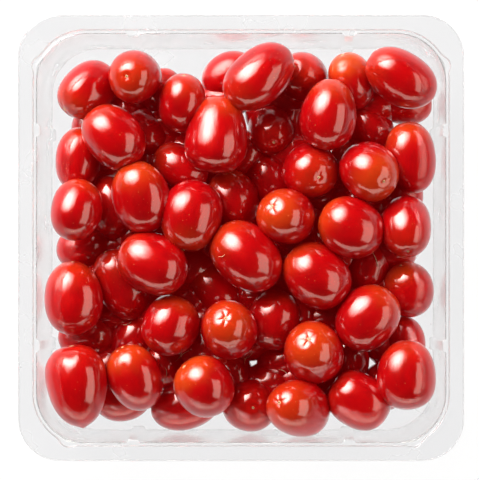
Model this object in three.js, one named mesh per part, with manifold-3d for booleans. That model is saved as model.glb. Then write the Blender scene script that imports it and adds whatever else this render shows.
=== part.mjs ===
// An open punnet of small oval tomatoes: a clear, thin-walled square tray with a flat rim, full of fruit.
// Millimetres, +Z up. The origin is at the middle of the tray's underside.

import * as THREE from 'three';
import { mergeVertices } from 'three/addons/utils/BufferGeometryUtils.js';
import Module from 'manifold-3d';

const wasm = await Module();
wasm.setup();

// ---------------------------------------------------------------- driving dimensions

// tray
const RIM_HALF = 95; // half the width over the rim
const RIM_HEIGHT = 50.5; // top of the rim over the table
const RIM_CORNER = 18; // plan radius of the rim's outer corners
const RIM_TURN_DOWN = 1.8; // height of the turned-down outer edge
const RIM_EASE = 0.4; // bevel at the rim's outer edge
const LIP_HALF = 88.5; // half the width between the rim's inner edges
const LIP_CORNER = 22;
const LEDGE_DROP = 1.5; // the narrow ledge inside the rim lies this far below it
const WALL_TOP_HALF = 87.1; // half the inner width at the ledge
const WALL_FOOT_HALF = 84.2; // half the inner width just over the floor
const WALL_CORNER = 21;
const BEND_RADIUS = 1.6; // bend between wall and floor
const SHEET = 0.7; // thickness of the plastic

// stiffening ribs pressed into the walls, two to a side
const RIB_OFFSET = 46; // from the middle of the side
const RIB_DEPTH = 1.5;
const RIB_FOOT_HALF = 3.1; // half the width at the wall
const RIB_FACE_HALF = 2.0; // half the width of the inward face

// rounded pockets pressed outward into the lip, one to a corner
const LUG_DEPTH = 1.8;
const LUG_SPAN = 14; // degrees of the corner's arc to each side of the pocket's middle
const LUG_ANGLES = [20.5, 159.5, 249.5, 290.5]; // degrees, one to a corner, seen from above

// tomatoes
const HEAP_TOP = 45.5; // highest point of the fruit
const TOUCH_GAP = 0.3; // clearance between fruit and tray
const FULLNESS = 2.2; // exponent of the fruit's outline: 2 is an ellipse, more is fuller
const FINE = { sides: 12, rings: 6 }; // facets of a fruit that shows on top
const COARSE = { sides: 9, rings: 5 }; // facets of a fruit deeper down
const CORE_INSET = 12; // the core stands back this far from the walls
const CORE_BOTTOM = 5;
const CORE_TOP = 16;
const RISER_RADIUS = 4;
const RISER_SIDES = 6;
const ON_RISERS = ['c23']; // fruit held up by nothing that shows

// where the heap was looked at from: straight down, a little off the tray's middle
const EYE = { x: 18.7, y: -14.5, overRim: 1320 };

// height of a fruit's middle, by how deep it lies
const LAYER_HEIGHT = { top: 34, high: 32, upper: 30, middle: 26, under: 22, low: 16, floor: 11.5 };

// One row for each fruit that shows: name, place across and up the tray, length and width as seen at rim height,
// heading of its stem end and its tilt out of level (degrees), and how deep it lies.
const SEEN_FRUIT = [
  ['a1', -65.2, 63.0, 28.1, 22.6, 222, 20, 'upper'],
  ['a2', -45.2, 68.6, 26.4, 22.2, 190, 76, 'upper'],
  ['a3', -54.7, 42.6, 30.2, 24.7, 130, 0, 'top'],
  ['a4', -68.8, 34.1, 27.3, 20.0, 78, 0, 'middle'],
  ['a5', -70.3, 12.1, 26.8, 21.7, 78, -12, 'upper'],
  ['a6', -65.6, -4.3, 24.3, 20.0, 10, 0, 'floor'],
  ['a7', -72.8, -25.6, 31.9, 24.7, 91, 0, 'upper'],
  ['a8', -50.9, -19.8, 32.4, 21.3, 116, 10, 'under'],
  ['a9', -69.9, -62.8, 34.9, 25.6, 98, 0, 'upper'],
  ['b10', -37.9, -10.9, 31.5, 25.6, 152, 0, 'top'],
  ['b11', -42.2, 17.7, 31.5, 24.7, 104, 15, 'top'],
  ['b12', -55.0, 13.2, 28.1, 20.0, 100, 0, 'under'],
  ['b13', -24.5, 57.1, 25.6, 20.4, 85, 20, 'middle'],
  ['b14', -11.0, 44.8, 32.8, 26.2, 85, -5, 'top'],
  ['b15', -21.7, 9.4, 30.7, 26.6, 257, 5, 'top'],
  ['b16', -26.0, 30.2, 25.6, 18.3, 150, 0, 'under'],
  ['b17', -3.4, 16.4, 26.4, 21.7, 110, 0, 'under'],
  ['b18', -5.1, 69.2, 24.7, 19.6, 30, 0, 'middle'],
  ['b19', 7.5, 68.5, 34.5, 24.3, 222, 8, 'top'],
  ['b20', 26.2, 67.9, 25.6, 21.7, 129, 62, 'middle'],
  ['c21', 37.3, 52.7, 30.7, 23.9, 84, 0, 'top'],
  ['c22', 47.1, 66.5, 25.6, 19.6, 110, 20, 'middle'],
  ['c23', 68.1, 68.4, 32.8, 23.0, 149, 0, 'top'],
  ['c24', 68.6, 56.0, 24.3, 17.5, 0, 0, 'floor'],
  ['c25', 55.4, 47.7, 24.3, 20.0, 120, 0, 'floor'],
  ['c26', 72.0, 34.1, 30.7, 21.3, 100, 0, 'middle'],
  ['c27', 55.0, 28.5, 29.0, 25.1, -38, 58, 'top'],
  ['c28', 29.2, 28.5, 26.8, 23.9, -40, 68, 'upper'],
  ['c29', 12.9, 46.0, 24.7, 20.7, -80, 60, 'under'],
  ['c30', 11.5, 24.3, 24.7, 20.0, 120, 0, 'floor'],
  ['d31', 19.0, 8.9, 26.4, 23.9, 145, 55, 'high'],
  ['d32', 47.0, 4.4, 29.0, 25.3, 155, 0, 'top'],
  ['d33', 70.2, 4.9, 28.1, 22.2, -88, 38, 'middle'],
  ['d34', 2.1, -7.7, 34.1, 26.8, 138, 0, 'top'],
  ['d35', 32.4, -16.2, 31.5, 26.4, 138, 0, 'top'],
  ['d36', 54.1, -12.8, 25.6, 20.4, 75, 0, 'floor'],
  ['d37', 71.4, -21.9, 24.3, 21.3, 110, 20, 'middle'],
  ['d38', 53.9, -34.1, 30.2, 25.6, 48, 0, 'top'],
  ['d39', -11.7, -22.2, 29.0, 20.0, 133, 0, 'under'],
  ['e40', 13.8, -34.9, 26.4, 22.6, 82, 0, 'under'],
  ['e41', -30.2, -37.3, 26.4, 24.3, 70, 0, 'top'],
  ['e42', -5.3, -39.2, 29.0, 24.3, 100, 68, 'top'],
  ['e43', 30.7, -49.0, 28.5, 26.0, 107, 62, 'top'],
  ['e44', 24.7, -72.8, 32.4, 24.3, 160, 56, 'top'],
  ['e45', -15.6, -63.3, 26.8, 25.1, 135, 20, 'top'],
  ['e46', -45.2, -59.4, 29.4, 23.0, 112, 12, 'top'],
  ['e47', -51.5, -67.8, 24.3, 18.3, 5, 0, 'floor'],
  ['e48', -23.4, -71.1, 30.7, 20.9, 15, 0, 'under'],
  ['e49', 3.8, -71.2, 26.4, 23.0, -20, 83, 'under'],
  ['f50', 50.6, -69.0, 27.3, 24.0, 150, 0, 'middle'],
  ['f51', 70.4, -58.4, 29.8, 25.1, 88, 0, 'high'],
  ['f52', 69.0, -43.5, 21.7, 18.3, 120, 0, 'floor'],
  ['f53', -64.3, -43.5, 24.7, 19.2, 0, 0, 'floor'],
  ['f54', -47.7, -42.6, 23.4, 19.2, 60, 0, 'floor'],
  ['f55', 44.6, -52.0, 23.4, 18.3, 92, 0, 'floor'],
  ['f56', -41.7, 45.6, 24.3, 20.0, 160, 0, 'low'],
  ['f57', -62.6, 48.0, 22.0, 18.7, 60, 0, 'floor'],
  ['f58', -33.6, 60.2, 23.0, 19.2, 95, 0, 'floor'],
  ['f59', 17.9, -52.8, 23.0, 18.3, 10, 0, 'floor'],
  ['f60', 37.1, -33.2, 23.0, 19.2, 30, 0, 'floor'],
  ['f61', 34.0, -66.0, 23.0, 18.7, 0, 0, 'floor'],
  ['f62', 68.6, 17.0, 23.0, 18.3, 80, 0, 'floor'],
  ['f63', 61.3, -62.9, 21.0, 17.4, 105, 0, 'floor'],
];

// bare spots where the floor shows between the fruit and beside the heap: place across and up, and radius
const BARE_SPOTS = [
  [0.7, 51.8, 1.5],
  [5.1, -53.8, 1.2],
  [54.5, -53.4, 2.2],
  [-19.5, 76.0, 5.5],
  [-70.5, 78.5, 6.0],
  [70.5, -78.5, 6.0],
  [26.0, 81.5, 4.0],
  [80.5, 12.5, 4.0],
  [-81.5, 21.0, 4.0],
  [44.0, -82.0, 3.5],
];

// fruit that nothing shows of from above: a loose grid, filled wherever a fruit finds room
const FILL_LAYERS = [{ height: 11, room: 17 }, { height: 23, room: 18 }];
const FILL_GRID = 6;
const FILL_REACH = 75; // the grid runs this far to each side of the middle
const FILL_SCATTER = 3;
const FILL_LENGTH = [25, 29];
const FILL_WIDTH = [19.5, 22.5];
const BARE_SPOT_ROOM = 11.5; // from a bare spot's edge to the middle of a fruit
const DRAW_SEED = 7;

// settling of the heap
const SETTLE_STEPS = 300;
const SINK_PER_STEP = 0.03;
const PUSH_SHARE = 0.25; // of an overlap, moved by each of the two fruit in one step
const HOLD_SEEN = 0.6; // how firmly a fruit keeps to its seen place
const HOLD_DEEP = 0.35;
const HOLD_FILL = 0.003;
const END_BALL = 0.44; // radius of a fruit's end balls over its width
const SIDE_PLAY = 0.1;
const FLOOR_PLAY = 0.2;
const SETTLE_CORNER = 24; // plan radius of the corners that the fruit settles in

// ---------------------------------------------------------------- shared helpers

const radians = THREE.MathUtils.degToRad;

/** The height of the tray's ledge, where its walls end. */
const LEDGE_HEIGHT = RIM_HEIGHT - LEDGE_DROP;

/** Half the inner width of the tray at a height, along the middle of a side. */
function wallHalf(z) {
  const foot = SHEET + BEND_RADIUS;
  const share = (z - foot) / (LEDGE_HEIGHT - foot);
  return WALL_FOOT_HALF + share * (WALL_TOP_HALF - WALL_FOOT_HALF);
}

/** A closed mesh from rows of triangles that share their points. */
function indexedGeometry(points, triangles) {
  const geometry = new THREE.BufferGeometry();
  geometry.setAttribute('position', new THREE.Float32BufferAttribute(points.flat(), 3));
  geometry.setIndex(triangles.flat());
  return geometry;
}

/** Joins closed outlines of one point count, in order, and caps the first and the last one. */
function loft(outlines) {
  const count = outlines[0].length;
  const points = outlines.flat();
  const triangles = [];
  for (let row = 0; row + 1 < outlines.length; row += 1) {
    for (let i = 0; i < count; i += 1) {
      const a = row * count + i;
      const b = row * count + ((i + 1) % count);
      triangles.push([a, b, b + count], [a, b + count, a + count]);
    }
  }
  const lastRow = (outlines.length - 1) * count;
  points.push([0, 0, outlines[0][0][2]], [0, 0, outlines.at(-1)[0][2]]);
  const firstHub = points.length - 2;
  const lastHub = points.length - 1;
  for (let i = 0; i < count; i += 1) {
    const next = (i + 1) % count;
    triangles.push([firstHub, next, i], [lastHub, lastRow + i, lastRow + next]);
  }
  return indexedGeometry(points, triangles);
}

/** A three.js geometry as a solid for joining and cutting. */
function toSolid(geometry) {
  const bare = geometry.clone();
  bare.deleteAttribute('normal');
  bare.deleteAttribute('uv');
  const merged = mergeVertices(bare, 1e-4);
  return new wasm.Manifold(new wasm.Mesh({
    numProp: 3,
    vertProperties: new Float32Array(merged.attributes.position.array),
    triVerts: new Uint32Array(merged.index.array),
  }));
}

/** A joined or cut solid as a three.js geometry. */
function toGeometry(solid) {
  const mesh = solid.getMesh();
  const geometry = new THREE.BufferGeometry();
  geometry.setAttribute('position', new THREE.Float32BufferAttribute(mesh.vertProperties, 3));
  geometry.setIndex(Array.from(mesh.triVerts));
  return geometry;
}

/** Numbers from 0 to 1 in a fixed order. */
function seededDraws(seed) {
  let state = seed;
  return () => {
    state = (state * 1664525 + 1013904223) % 4294967296;
    return state / 4294967296;
  };
}

// ---------------------------------------------------------------- tray

/** How far a lug pushes a corner's arc outward at an angle in degrees. */
function lugPush(angle) {
  const offsets = LUG_ANGLES.map((middle) => Math.abs(angle - middle));
  const nearest = Math.min(...offsets);
  return nearest < LUG_SPAN ? LUG_DEPTH * Math.cos((Math.PI / 2) * (nearest / LUG_SPAN)) ** 2 : 0;
}

/** One closed outline of the tray: four sides with room for their ribs, and four rounded corners. */
function trayOutline({ half, corner, z, rib = 0, ribTrim = 0, lug = 0 }) {
  const cornerSteps = 12;
  const outline = [];
  for (let side = 0; side < 4; side += 1) {
    const turn = side * 90;
    const place = (x, y) => {
      const c = Math.round(Math.cos(radians(turn)));
      const s = Math.round(Math.sin(radians(turn)));
      return [x * c - y * s, x * s + y * c, z];
    };
    for (const middle of [-RIB_OFFSET, RIB_OFFSET]) {
      const foot = RIB_FOOT_HALF - ribTrim;
      const face = RIB_FACE_HALF - ribTrim;
      outline.push(place(half, middle - foot));
      outline.push(place(half - rib, middle - face));
      outline.push(place(half - rib, middle + face));
      outline.push(place(half, middle + foot));
    }
    for (let step = 0; step <= cornerSteps; step += 1) {
      const angle = (90 * step) / cornerSteps;
      const radius = corner + lug * lugPush(turn + angle);
      const middle = half - corner;
      const x = middle + radius * Math.cos(radians(angle));
      const y = middle + radius * Math.sin(radians(angle));
      outline.push(place(x, y));
    }
  }
  return outline;
}

/** The outlines up the inner face of the tray, from the floor to the ledge, set back by a clearance. */
function innerWallStations(gap) {
  const rib = RIB_DEPTH;
  const ribTrim = -gap;
  const corner = WALL_CORNER - gap;
  return [
    { half: WALL_FOOT_HALF - BEND_RADIUS - gap, corner: corner - BEND_RADIUS, z: SHEET + gap, rib, ribTrim },
    { half: WALL_FOOT_HALF - 0.3 * BEND_RADIUS - gap, corner, z: SHEET + gap + 0.3 * BEND_RADIUS, rib, ribTrim },
    { half: WALL_FOOT_HALF - gap, corner, z: SHEET + BEND_RADIUS, rib, ribTrim },
  ];
}

/** The tray as one thin shell: up the outside, over the rim and down the inside. */
function trayGeometry() {
  const rib = RIB_DEPTH;
  const under = { rib, ribTrim: 0.35 };
  const foot = SHEET + BEND_RADIUS;
  const rimUnder = RIM_HEIGHT - SHEET;
  const ledgeUnder = LEDGE_HEIGHT - SHEET;
  const turnedDown = RIM_HEIGHT - RIM_TURN_DOWN;
  const rimInside = RIM_HALF - SHEET;
  const outside = [
    { half: WALL_FOOT_HALF - BEND_RADIUS, corner: WALL_CORNER - BEND_RADIUS, z: 0, ...under },
    { half: WALL_FOOT_HALF + 0.25 * SHEET, corner: WALL_CORNER, z: 0.4 * BEND_RADIUS, ...under },
    { half: WALL_FOOT_HALF + SHEET, corner: WALL_CORNER + SHEET, z: foot, ...under },
    { half: WALL_TOP_HALF + SHEET, corner: WALL_CORNER + SHEET, z: ledgeUnder, ...under },
    { half: LIP_HALF + SHEET, corner: LIP_CORNER + SHEET, z: ledgeUnder, lug: 1 },
    { half: LIP_HALF + SHEET, corner: LIP_CORNER + SHEET, z: rimUnder, lug: 1 },
    { half: rimInside, corner: RIM_CORNER - SHEET, z: rimUnder },
    { half: rimInside, corner: RIM_CORNER - SHEET, z: turnedDown },
  ];
  const over = [
    { half: RIM_HALF, corner: RIM_CORNER, z: turnedDown },
    { half: RIM_HALF, corner: RIM_CORNER, z: RIM_HEIGHT - RIM_EASE },
    { half: RIM_HALF - RIM_EASE, corner: RIM_CORNER - RIM_EASE, z: RIM_HEIGHT },
    { half: LIP_HALF, corner: LIP_CORNER, z: RIM_HEIGHT, lug: 1 },
    { half: LIP_HALF, corner: LIP_CORNER, z: LEDGE_HEIGHT, lug: 1 },
  ];
  const inside = [
    { half: WALL_TOP_HALF, corner: WALL_CORNER, z: LEDGE_HEIGHT, rib },
    ...innerWallStations(0).reverse(),
  ];
  return loft([...outside, ...over, ...inside].map(trayOutline));
}

// ---------------------------------------------------------------- heap of tomatoes

/** How much larger a thing at a level is than it looks when measured at rim height. */
function sightReach(z) {
  return 1 + (RIM_HEIGHT - z) / EYE.overRim;
}

/** Where the sight line through a place at rim height meets a level lower down. */
function alongSight(x, y, z) {
  const reach = sightReach(z);
  return [EYE.x + (x - EYE.x) * reach, EYE.y + (y - EYE.y) * reach];
}

/** The fruit that shows, each at the height of its layer. */
function seenFruit() {
  return SEEN_FRUIT.map(([name, seenX, seenY, seenLength, seenWidth, heading, tilt, layer]) => {
    const z = LAYER_HEIGHT[layer];
    const [x, y] = alongSight(seenX, seenY, z);
    const reach = sightReach(z);
    const deep = layer === 'low' || layer === 'floor';
    return {
      name, seenX, seenY, x, y, z, length: seenLength * reach, width: seenWidth * reach,
      heading: radians(heading), tilt: radians(tilt),
      hold: deep ? HOLD_DEEP : HOLD_SEEN, facets: deep ? COARSE : FINE,
    };
  });
}

/** Adds the fruit that lies hidden, wherever a grid place is far enough from all others. */
function addFill(fruit) {
  const draw = seededDraws(DRAW_SEED);
  const between = ([low, high]) => low + (high - low) * draw();
  const bare = BARE_SPOTS.map(([x, y, radius]) => [...alongSight(x, y, FILL_LAYERS[0].height), radius]);
  const step = (2 * FILL_REACH) / (FILL_GRID - 1);
  for (const { height, room } of FILL_LAYERS) {
    for (let i = 0; i < FILL_GRID; i += 1) {
      for (let j = 0; j < FILL_GRID; j += 1) {
        const x = i * step - FILL_REACH + FILL_SCATTER * (2 * draw() - 1);
        const y = j * step - FILL_REACH + FILL_SCATTER * (2 * draw() - 1);
        const length = between(FILL_LENGTH);
        const width = between(FILL_WIDTH);
        const heading = 2 * Math.PI * draw();
        const crowded = fruit.some((other) => Math.hypot(x - other.x, y - other.y, height - other.z) < room);
        const blocked = bare.some(([bx, by, radius]) => Math.hypot(x - bx, y - by) < BARE_SPOT_ROOM + radius);
        if (!crowded && !blocked) {
          fruit.push({ x, y, z: height, length, width, heading, tilt: 0, hold: HOLD_FILL, facets: COARSE });
        }
      }
    }
  }
}

/** The three balls that stand for a fruit while the heap settles. */
function ballsOf(fruit) {
  const flat = Math.cos(fruit.tilt);
  const along = [flat * Math.cos(fruit.heading), flat * Math.sin(fruit.heading), Math.sin(fruit.tilt)];
  const reach = fruit.length / 2 - END_BALL * fruit.width;
  return [-1, 0, 1].map((end) => ({
    offset: along.map((part) => part * reach * end),
    radius: fruit.width * (end === 0 ? 0.5 : END_BALL),
  }));
}

/** The overlap of two fruit and the direction that parts them. */
function overlapOf(a, b) {
  let deepest = 0;
  let away = [0, 0, 0];
  for (const p of a.balls) {
    for (const q of b.balls) {
      const dx = a.x + p.offset[0] - b.x - q.offset[0];
      const dy = a.y + p.offset[1] - b.y - q.offset[1];
      const dz = a.z + p.offset[2] - b.z - q.offset[2];
      const distance = Math.hypot(dx, dy, dz) + 1e-9;
      const depth = p.radius + q.radius - distance;
      if (depth > deepest) {
        deepest = depth;
        away = [dx / distance, dy / distance, dz / distance];
      }
    }
  }
  return [deepest, away];
}

/** Pushes overlapping fruit apart, each by the same share of the overlap. */
function pushApart(fruit) {
  const moves = fruit.map(() => [0, 0, 0]);
  for (let i = 0; i < fruit.length; i += 1) {
    for (let j = i + 1; j < fruit.length; j += 1) {
      const reach = (fruit[i].length + fruit[j].length) / 2;
      if (Math.abs(fruit[i].x - fruit[j].x) > reach || Math.abs(fruit[i].y - fruit[j].y) > reach) {
        continue;
      }
      const [depth, away] = overlapOf(fruit[i], fruit[j]);
      for (let axis = 0; axis < 3; axis += 1) {
        moves[i][axis] += away[axis] * depth * PUSH_SHARE;
        moves[j][axis] -= away[axis] * depth * PUSH_SHARE;
      }
    }
  }
  fruit.forEach((one, i) => {
    one.x += moves[i][0];
    one.y += moves[i][1];
    one.z += moves[i][2];
  });
}

/** Lets a fruit sink a little and draws it back towards its own place. */
function sinkAndHold(one) {
  one.z -= SINK_PER_STEP;
  const [homeX, homeY] = one.name ? alongSight(one.seenX, one.seenY, one.z) : [one.homeX, one.homeY];
  one.x += (homeX - one.x) * one.hold;
  one.y += (homeY - one.y) * one.hold;
}

/** Keeps one ball of a fruit off the walls, the rounded corners and the floor, and under the heap's top. */
function keepInside(one, ball) {
  const half = wallHalf(one.z + ball.offset[2]) - SIDE_PLAY;
  const limit = half - ball.radius;
  const overX = Math.abs(one.x + ball.offset[0]) - limit;
  if (overX > 0) {
    one.x -= Math.sign(one.x + ball.offset[0]) * overX;
  }
  const overY = Math.abs(one.y + ball.offset[1]) - limit;
  if (overY > 0) {
    one.y -= Math.sign(one.y + ball.offset[1]) * overY;
  }
  const x = one.x + ball.offset[0];
  const y = one.y + ball.offset[1];
  const inCornerX = Math.abs(x) - (half - SETTLE_CORNER);
  const inCornerY = Math.abs(y) - (half - SETTLE_CORNER);
  const overCorner = Math.hypot(inCornerX, inCornerY) - (SETTLE_CORNER - ball.radius);
  if (inCornerX > 0 && inCornerY > 0 && overCorner > 0) {
    const share = overCorner / Math.hypot(inCornerX, inCornerY);
    one.x -= Math.sign(x) * inCornerX * share;
    one.y -= Math.sign(y) * inCornerY * share;
  }
  const z = one.z + ball.offset[2];
  one.z += Math.max(0, SHEET + FLOOR_PLAY + ball.radius - z);
  one.z -= Math.max(0, z + ball.radius - HEAP_TOP);
}

/** All the fruit at rest in the tray. */
function settledFruit() {
  const fruit = seenFruit();
  addFill(fruit);
  for (const one of fruit) {
    one.balls = ballsOf(one);
    one.homeX = one.x;
    one.homeY = one.y;
  }
  for (let step = 0; step < SETTLE_STEPS; step += 1) {
    pushApart(fruit);
    for (const one of fruit) {
      sinkAndHold(one);
      one.balls.forEach((ball) => keepInside(one, ball));
    }
  }
  return fruit;
}

/** One fruit: a full oval turned about its length, with few sides. */
function fruitGeometry(one) {
  const { sides, rings } = one.facets;
  const keepWidth = Math.sqrt((2 * Math.PI) / sides / Math.sin((2 * Math.PI) / sides));
  const profile = [];
  for (let ring = 0; ring <= rings; ring += 1) {
    const along = -Math.cos((Math.PI * ring) / rings);
    const radius = (1 - Math.abs(along) ** FULLNESS) ** (1 / FULLNESS);
    const atTip = ring === 0 || ring === rings;
    profile.push(new THREE.Vector2(atTip ? 0 : (keepWidth * radius * one.width) / 2, (along * one.length) / 2));
  }
  const geometry = new THREE.LatheGeometry(profile, sides);
  geometry.rotateZ(-Math.PI / 2);
  geometry.rotateY(-one.tilt);
  geometry.rotateZ(one.heading);
  geometry.translate(one.x, one.y, one.z);
  return geometry;
}

/** The space inside the tray that fruit may fill, clear of walls, ribs and floor. */
function roomInside() {
  const top = HEAP_TOP + TOUCH_GAP;
  const stations = innerWallStations(TOUCH_GAP);
  stations.push({
    half: wallHalf(top) - TOUCH_GAP, corner: WALL_CORNER - TOUCH_GAP, z: top, rib: RIB_DEPTH, ribTrim: -TOUCH_GAP,
  });
  return toSolid(loft(stations.map(trayOutline)));
}

/** The plain block in the bottom of the heap. */
function heapCore() {
  const station = (z) => ({ half: wallHalf(z) - CORE_INSET, corner: WALL_CORNER - CORE_INSET, z });
  return toSolid(loft([station(CORE_BOTTOM), station(CORE_TOP)].map(trayOutline)));
}

/** The part of the core that rises into a fruit from below, out of sight. */
function coreRiser(one) {
  const height = one.z - CORE_BOTTOM;
  const geometry = new THREE.CylinderGeometry(RISER_RADIUS, RISER_RADIUS, height, RISER_SIDES);
  geometry.rotateX(Math.PI / 2);
  geometry.translate(one.x, one.y, CORE_BOTTOM + height / 2);
  return geometry;
}

/** The whole heap as one body, without loose scraps and sealed hollows. */
function heapGeometry() {
  let heap = heapCore();
  for (const one of settledFruit()) {
    heap = heap.add(toSolid(fruitGeometry(one)));
    if (ON_RISERS.includes(one.name)) {
      heap = heap.add(toSolid(coreRiser(one)));
    }
  }
  const bodies = heap.intersect(roomInside()).decompose();
  bodies.sort((a, b) => b.volume() - a.volume());
  return toGeometry(bodies[0]);
}

// ---------------------------------------------------------------- the part

/** A named mesh with its own plain finish. */
function piece(name, geometry, finish) {
  geometry.computeVertexNormals();
  const mesh = new THREE.Mesh(geometry, new THREE.MeshStandardMaterial(finish));
  mesh.name = name;
  return mesh;
}

const punnet = new THREE.Group();
punnet.add(piece('tray', trayGeometry(), {
  color: 0xeef0f2, roughness: 0.08, metalness: 0, transparent: true, opacity: 0.3,
}));
punnet.add(piece('tomatoes', heapGeometry(), { color: 0xc8140f, roughness: 0.2, metalness: 0 }));

export default punnet;
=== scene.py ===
"""An open punnet heaped with small oval tomatoes, dressed for a studio view from straight above.

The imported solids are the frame. A thinner clear tray and single, smooth tomatoes take their places. The
tomatoes on the floor of the tray that only close chinks in the heap cut into their neighbours.
Sizes are in millimetres where a name doesn't say otherwise, and meshes are written in metres.
"""

import logging
import math
from dataclasses import dataclass, field
from enum import Enum

import bpy
import numpy as np
from mathutils import Matrix, Vector
from mathutils.bvhtree import BVHTree


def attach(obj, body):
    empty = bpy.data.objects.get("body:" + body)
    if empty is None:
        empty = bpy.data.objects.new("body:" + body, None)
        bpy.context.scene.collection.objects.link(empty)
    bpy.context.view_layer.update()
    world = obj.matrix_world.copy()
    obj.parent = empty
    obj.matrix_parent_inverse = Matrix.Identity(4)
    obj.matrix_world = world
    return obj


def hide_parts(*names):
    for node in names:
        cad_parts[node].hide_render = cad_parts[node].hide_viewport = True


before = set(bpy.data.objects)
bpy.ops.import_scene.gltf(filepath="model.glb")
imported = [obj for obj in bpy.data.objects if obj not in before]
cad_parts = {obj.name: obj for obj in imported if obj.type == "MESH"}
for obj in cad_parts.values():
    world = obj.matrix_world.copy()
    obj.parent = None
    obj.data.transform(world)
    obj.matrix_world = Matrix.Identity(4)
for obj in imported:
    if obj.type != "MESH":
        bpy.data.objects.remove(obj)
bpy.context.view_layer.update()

LOG = logging.getLogger("punnet")
MM = 0.001
TINY = 1e-9
BODY = "root"


# ---------------------------------------------------------------- sizes shared by the tray and the heap


@dataclass(frozen=True)
class TraySizes:
    """The clear tray's sizes, the same as the solid's, but with a thinner sheet."""

    rim_half: float = 95.0
    rim_height: float = 50.5
    rim_corner: float = 18.0
    rim_turn_down: float = 1.8
    lip_half: float = 88.5
    lip_corner: float = 22.0
    ledge_drop: float = 1.5
    wall_top_half: float = 87.1
    wall_foot_half: float = 84.2
    wall_corner: float = 21.0
    solid_floor: float = 0.7
    solid_bend: float = 1.6
    sheet: float = 0.45
    rib_offset: float = 46.0
    rib_depth: float = 1.5
    rib_foot_half: float = 3.1
    rib_face_half: float = 2.0
    lug_depth: float = 1.8
    lug_span: float = 14.0
    lug_angles: tuple[float, ...] = (20.5, 159.5, 249.5, 290.5)

    @property
    def ledge_height(self) -> float:
        """Height of the narrow ledge inside the rim."""
        return self.rim_height - self.ledge_drop

    def wall_half(self, z: float | np.ndarray) -> float | np.ndarray:
        """Half the inner width along the middle of a side.

        Args:
            z: Height over the table, or many heights.

        Returns:
            The half width at each height.
        """
        foot = self.solid_floor + self.solid_bend
        share = (z - foot) / (self.ledge_height - foot)
        return self.wall_foot_half + share * (self.wall_top_half - self.wall_foot_half)


@dataclass(frozen=True)
class Eye:
    """Where the camera stands: straight over a point a little off the tray's middle."""

    x: float = 18.7
    y: float = -14.5
    over_rim: float = 1320.0

    @property
    def foot(self) -> np.ndarray:
        """The place straight under the camera."""
        return np.array([self.x, self.y])

    def reach(self, drop: float) -> float:
        """How much larger a thing this far under the rim is than it looks when measured at rim height."""
        return 1 + drop / self.over_rim

    def along_sight(self, x: float, y: float, drop: float) -> tuple[float, float]:
        """Follows the sight line through a place at rim height down to a lower level.

        Args:
            x: Place across at rim height.
            y: Place up the tray at rim height.
            drop: How far the level lies under the rim.

        Returns:
            The place at that level.
        """
        reach = self.reach(drop)
        return self.x + (x - self.x) * reach, self.y + (y - self.y) * reach


TRAY = TraySizes()
EYE = Eye()


# ---------------------------------------------------------------- the fruit and where each one lies


class Depth(Enum):
    """How deep a fruit lies, as the height of its middle before the heap settles."""

    TOP = 34.0
    HIGH = 32.0
    UPPER = 30.0
    MIDDLE = 26.0
    UNDER = 22.0
    LOW = 16.0
    FLOOR = 11.5
    HIDDEN = 0.0


class Scar(Enum):
    """What the stem end of a fruit shows, as the depth in mm of the folds round its scar."""

    SMOOTH = 0.0
    FAINT = 0.08
    STAR = 0.26


@dataclass(frozen=True)
class Dent:
    """A small hollow in a fruit's upper side, placed from the fruit's middle as seen from above."""

    across: float
    up: float
    radius: float
    depth: float


@dataclass(frozen=True)
class Character:
    """What sets one fruit's form apart from the plain oval."""

    scar: Scar = Scar.FAINT
    taper: float = 0.0
    blunt: float = 0.0
    nub: float = 0.15
    dents: tuple[Dent, ...] = ()


@dataclass
class Fruit:
    """One tomato of the heap."""

    name: str
    home: tuple[float, float]
    x: float
    y: float
    z: float
    length: float
    width: float
    heading: float
    tilt: float
    depth: Depth
    orange: float
    hold: float
    character: Character = field(default_factory=Character)
    balls: list[tuple[tuple[float, float, float], float]] = field(default_factory=list)

    def axis(self) -> tuple[float, float, float]:
        """The direction from the fruit's middle to its stem end."""
        flat = math.cos(self.tilt)
        return flat * math.cos(self.heading), flat * math.sin(self.heading), math.sin(self.tilt)

    def placed(self, local: np.ndarray) -> np.ndarray:
        """Turns points so that the stem end faces the heading, and moves them to the fruit's place.

        Args:
            local: Points with the stem end up.

        Returns:
            The points in the tray.
        """
        turned = Matrix.Rotation(self.heading, 3, "Z") @ Matrix.Rotation(math.pi / 2 - self.tilt, 3, "Y")
        return local @ np.array(turned).T + np.array([self.x, self.y, self.z])

    def outline_seen(self) -> tuple[np.ndarray, np.ndarray]:
        """The fruit's outline as seen at rim height, taken as an ellipse.

        Returns:
            Its middle, and the matrix that turns the outline into a circle of radius 1.
        """
        reach = EYE.reach(TRAY.rim_height - self.z)
        middle = (np.array([self.x, self.y]) - EYE.foot) / reach + EYE.foot
        half_length = math.hypot(self.length * math.cos(self.tilt), self.width * math.sin(self.tilt)) / 2
        cos, sin = math.cos(self.heading), math.sin(self.heading)
        along = np.array([cos, sin]) * reach / half_length
        aside = np.array([-sin, cos]) * reach / (self.width / 2)
        return middle, np.stack([along, aside])


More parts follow.
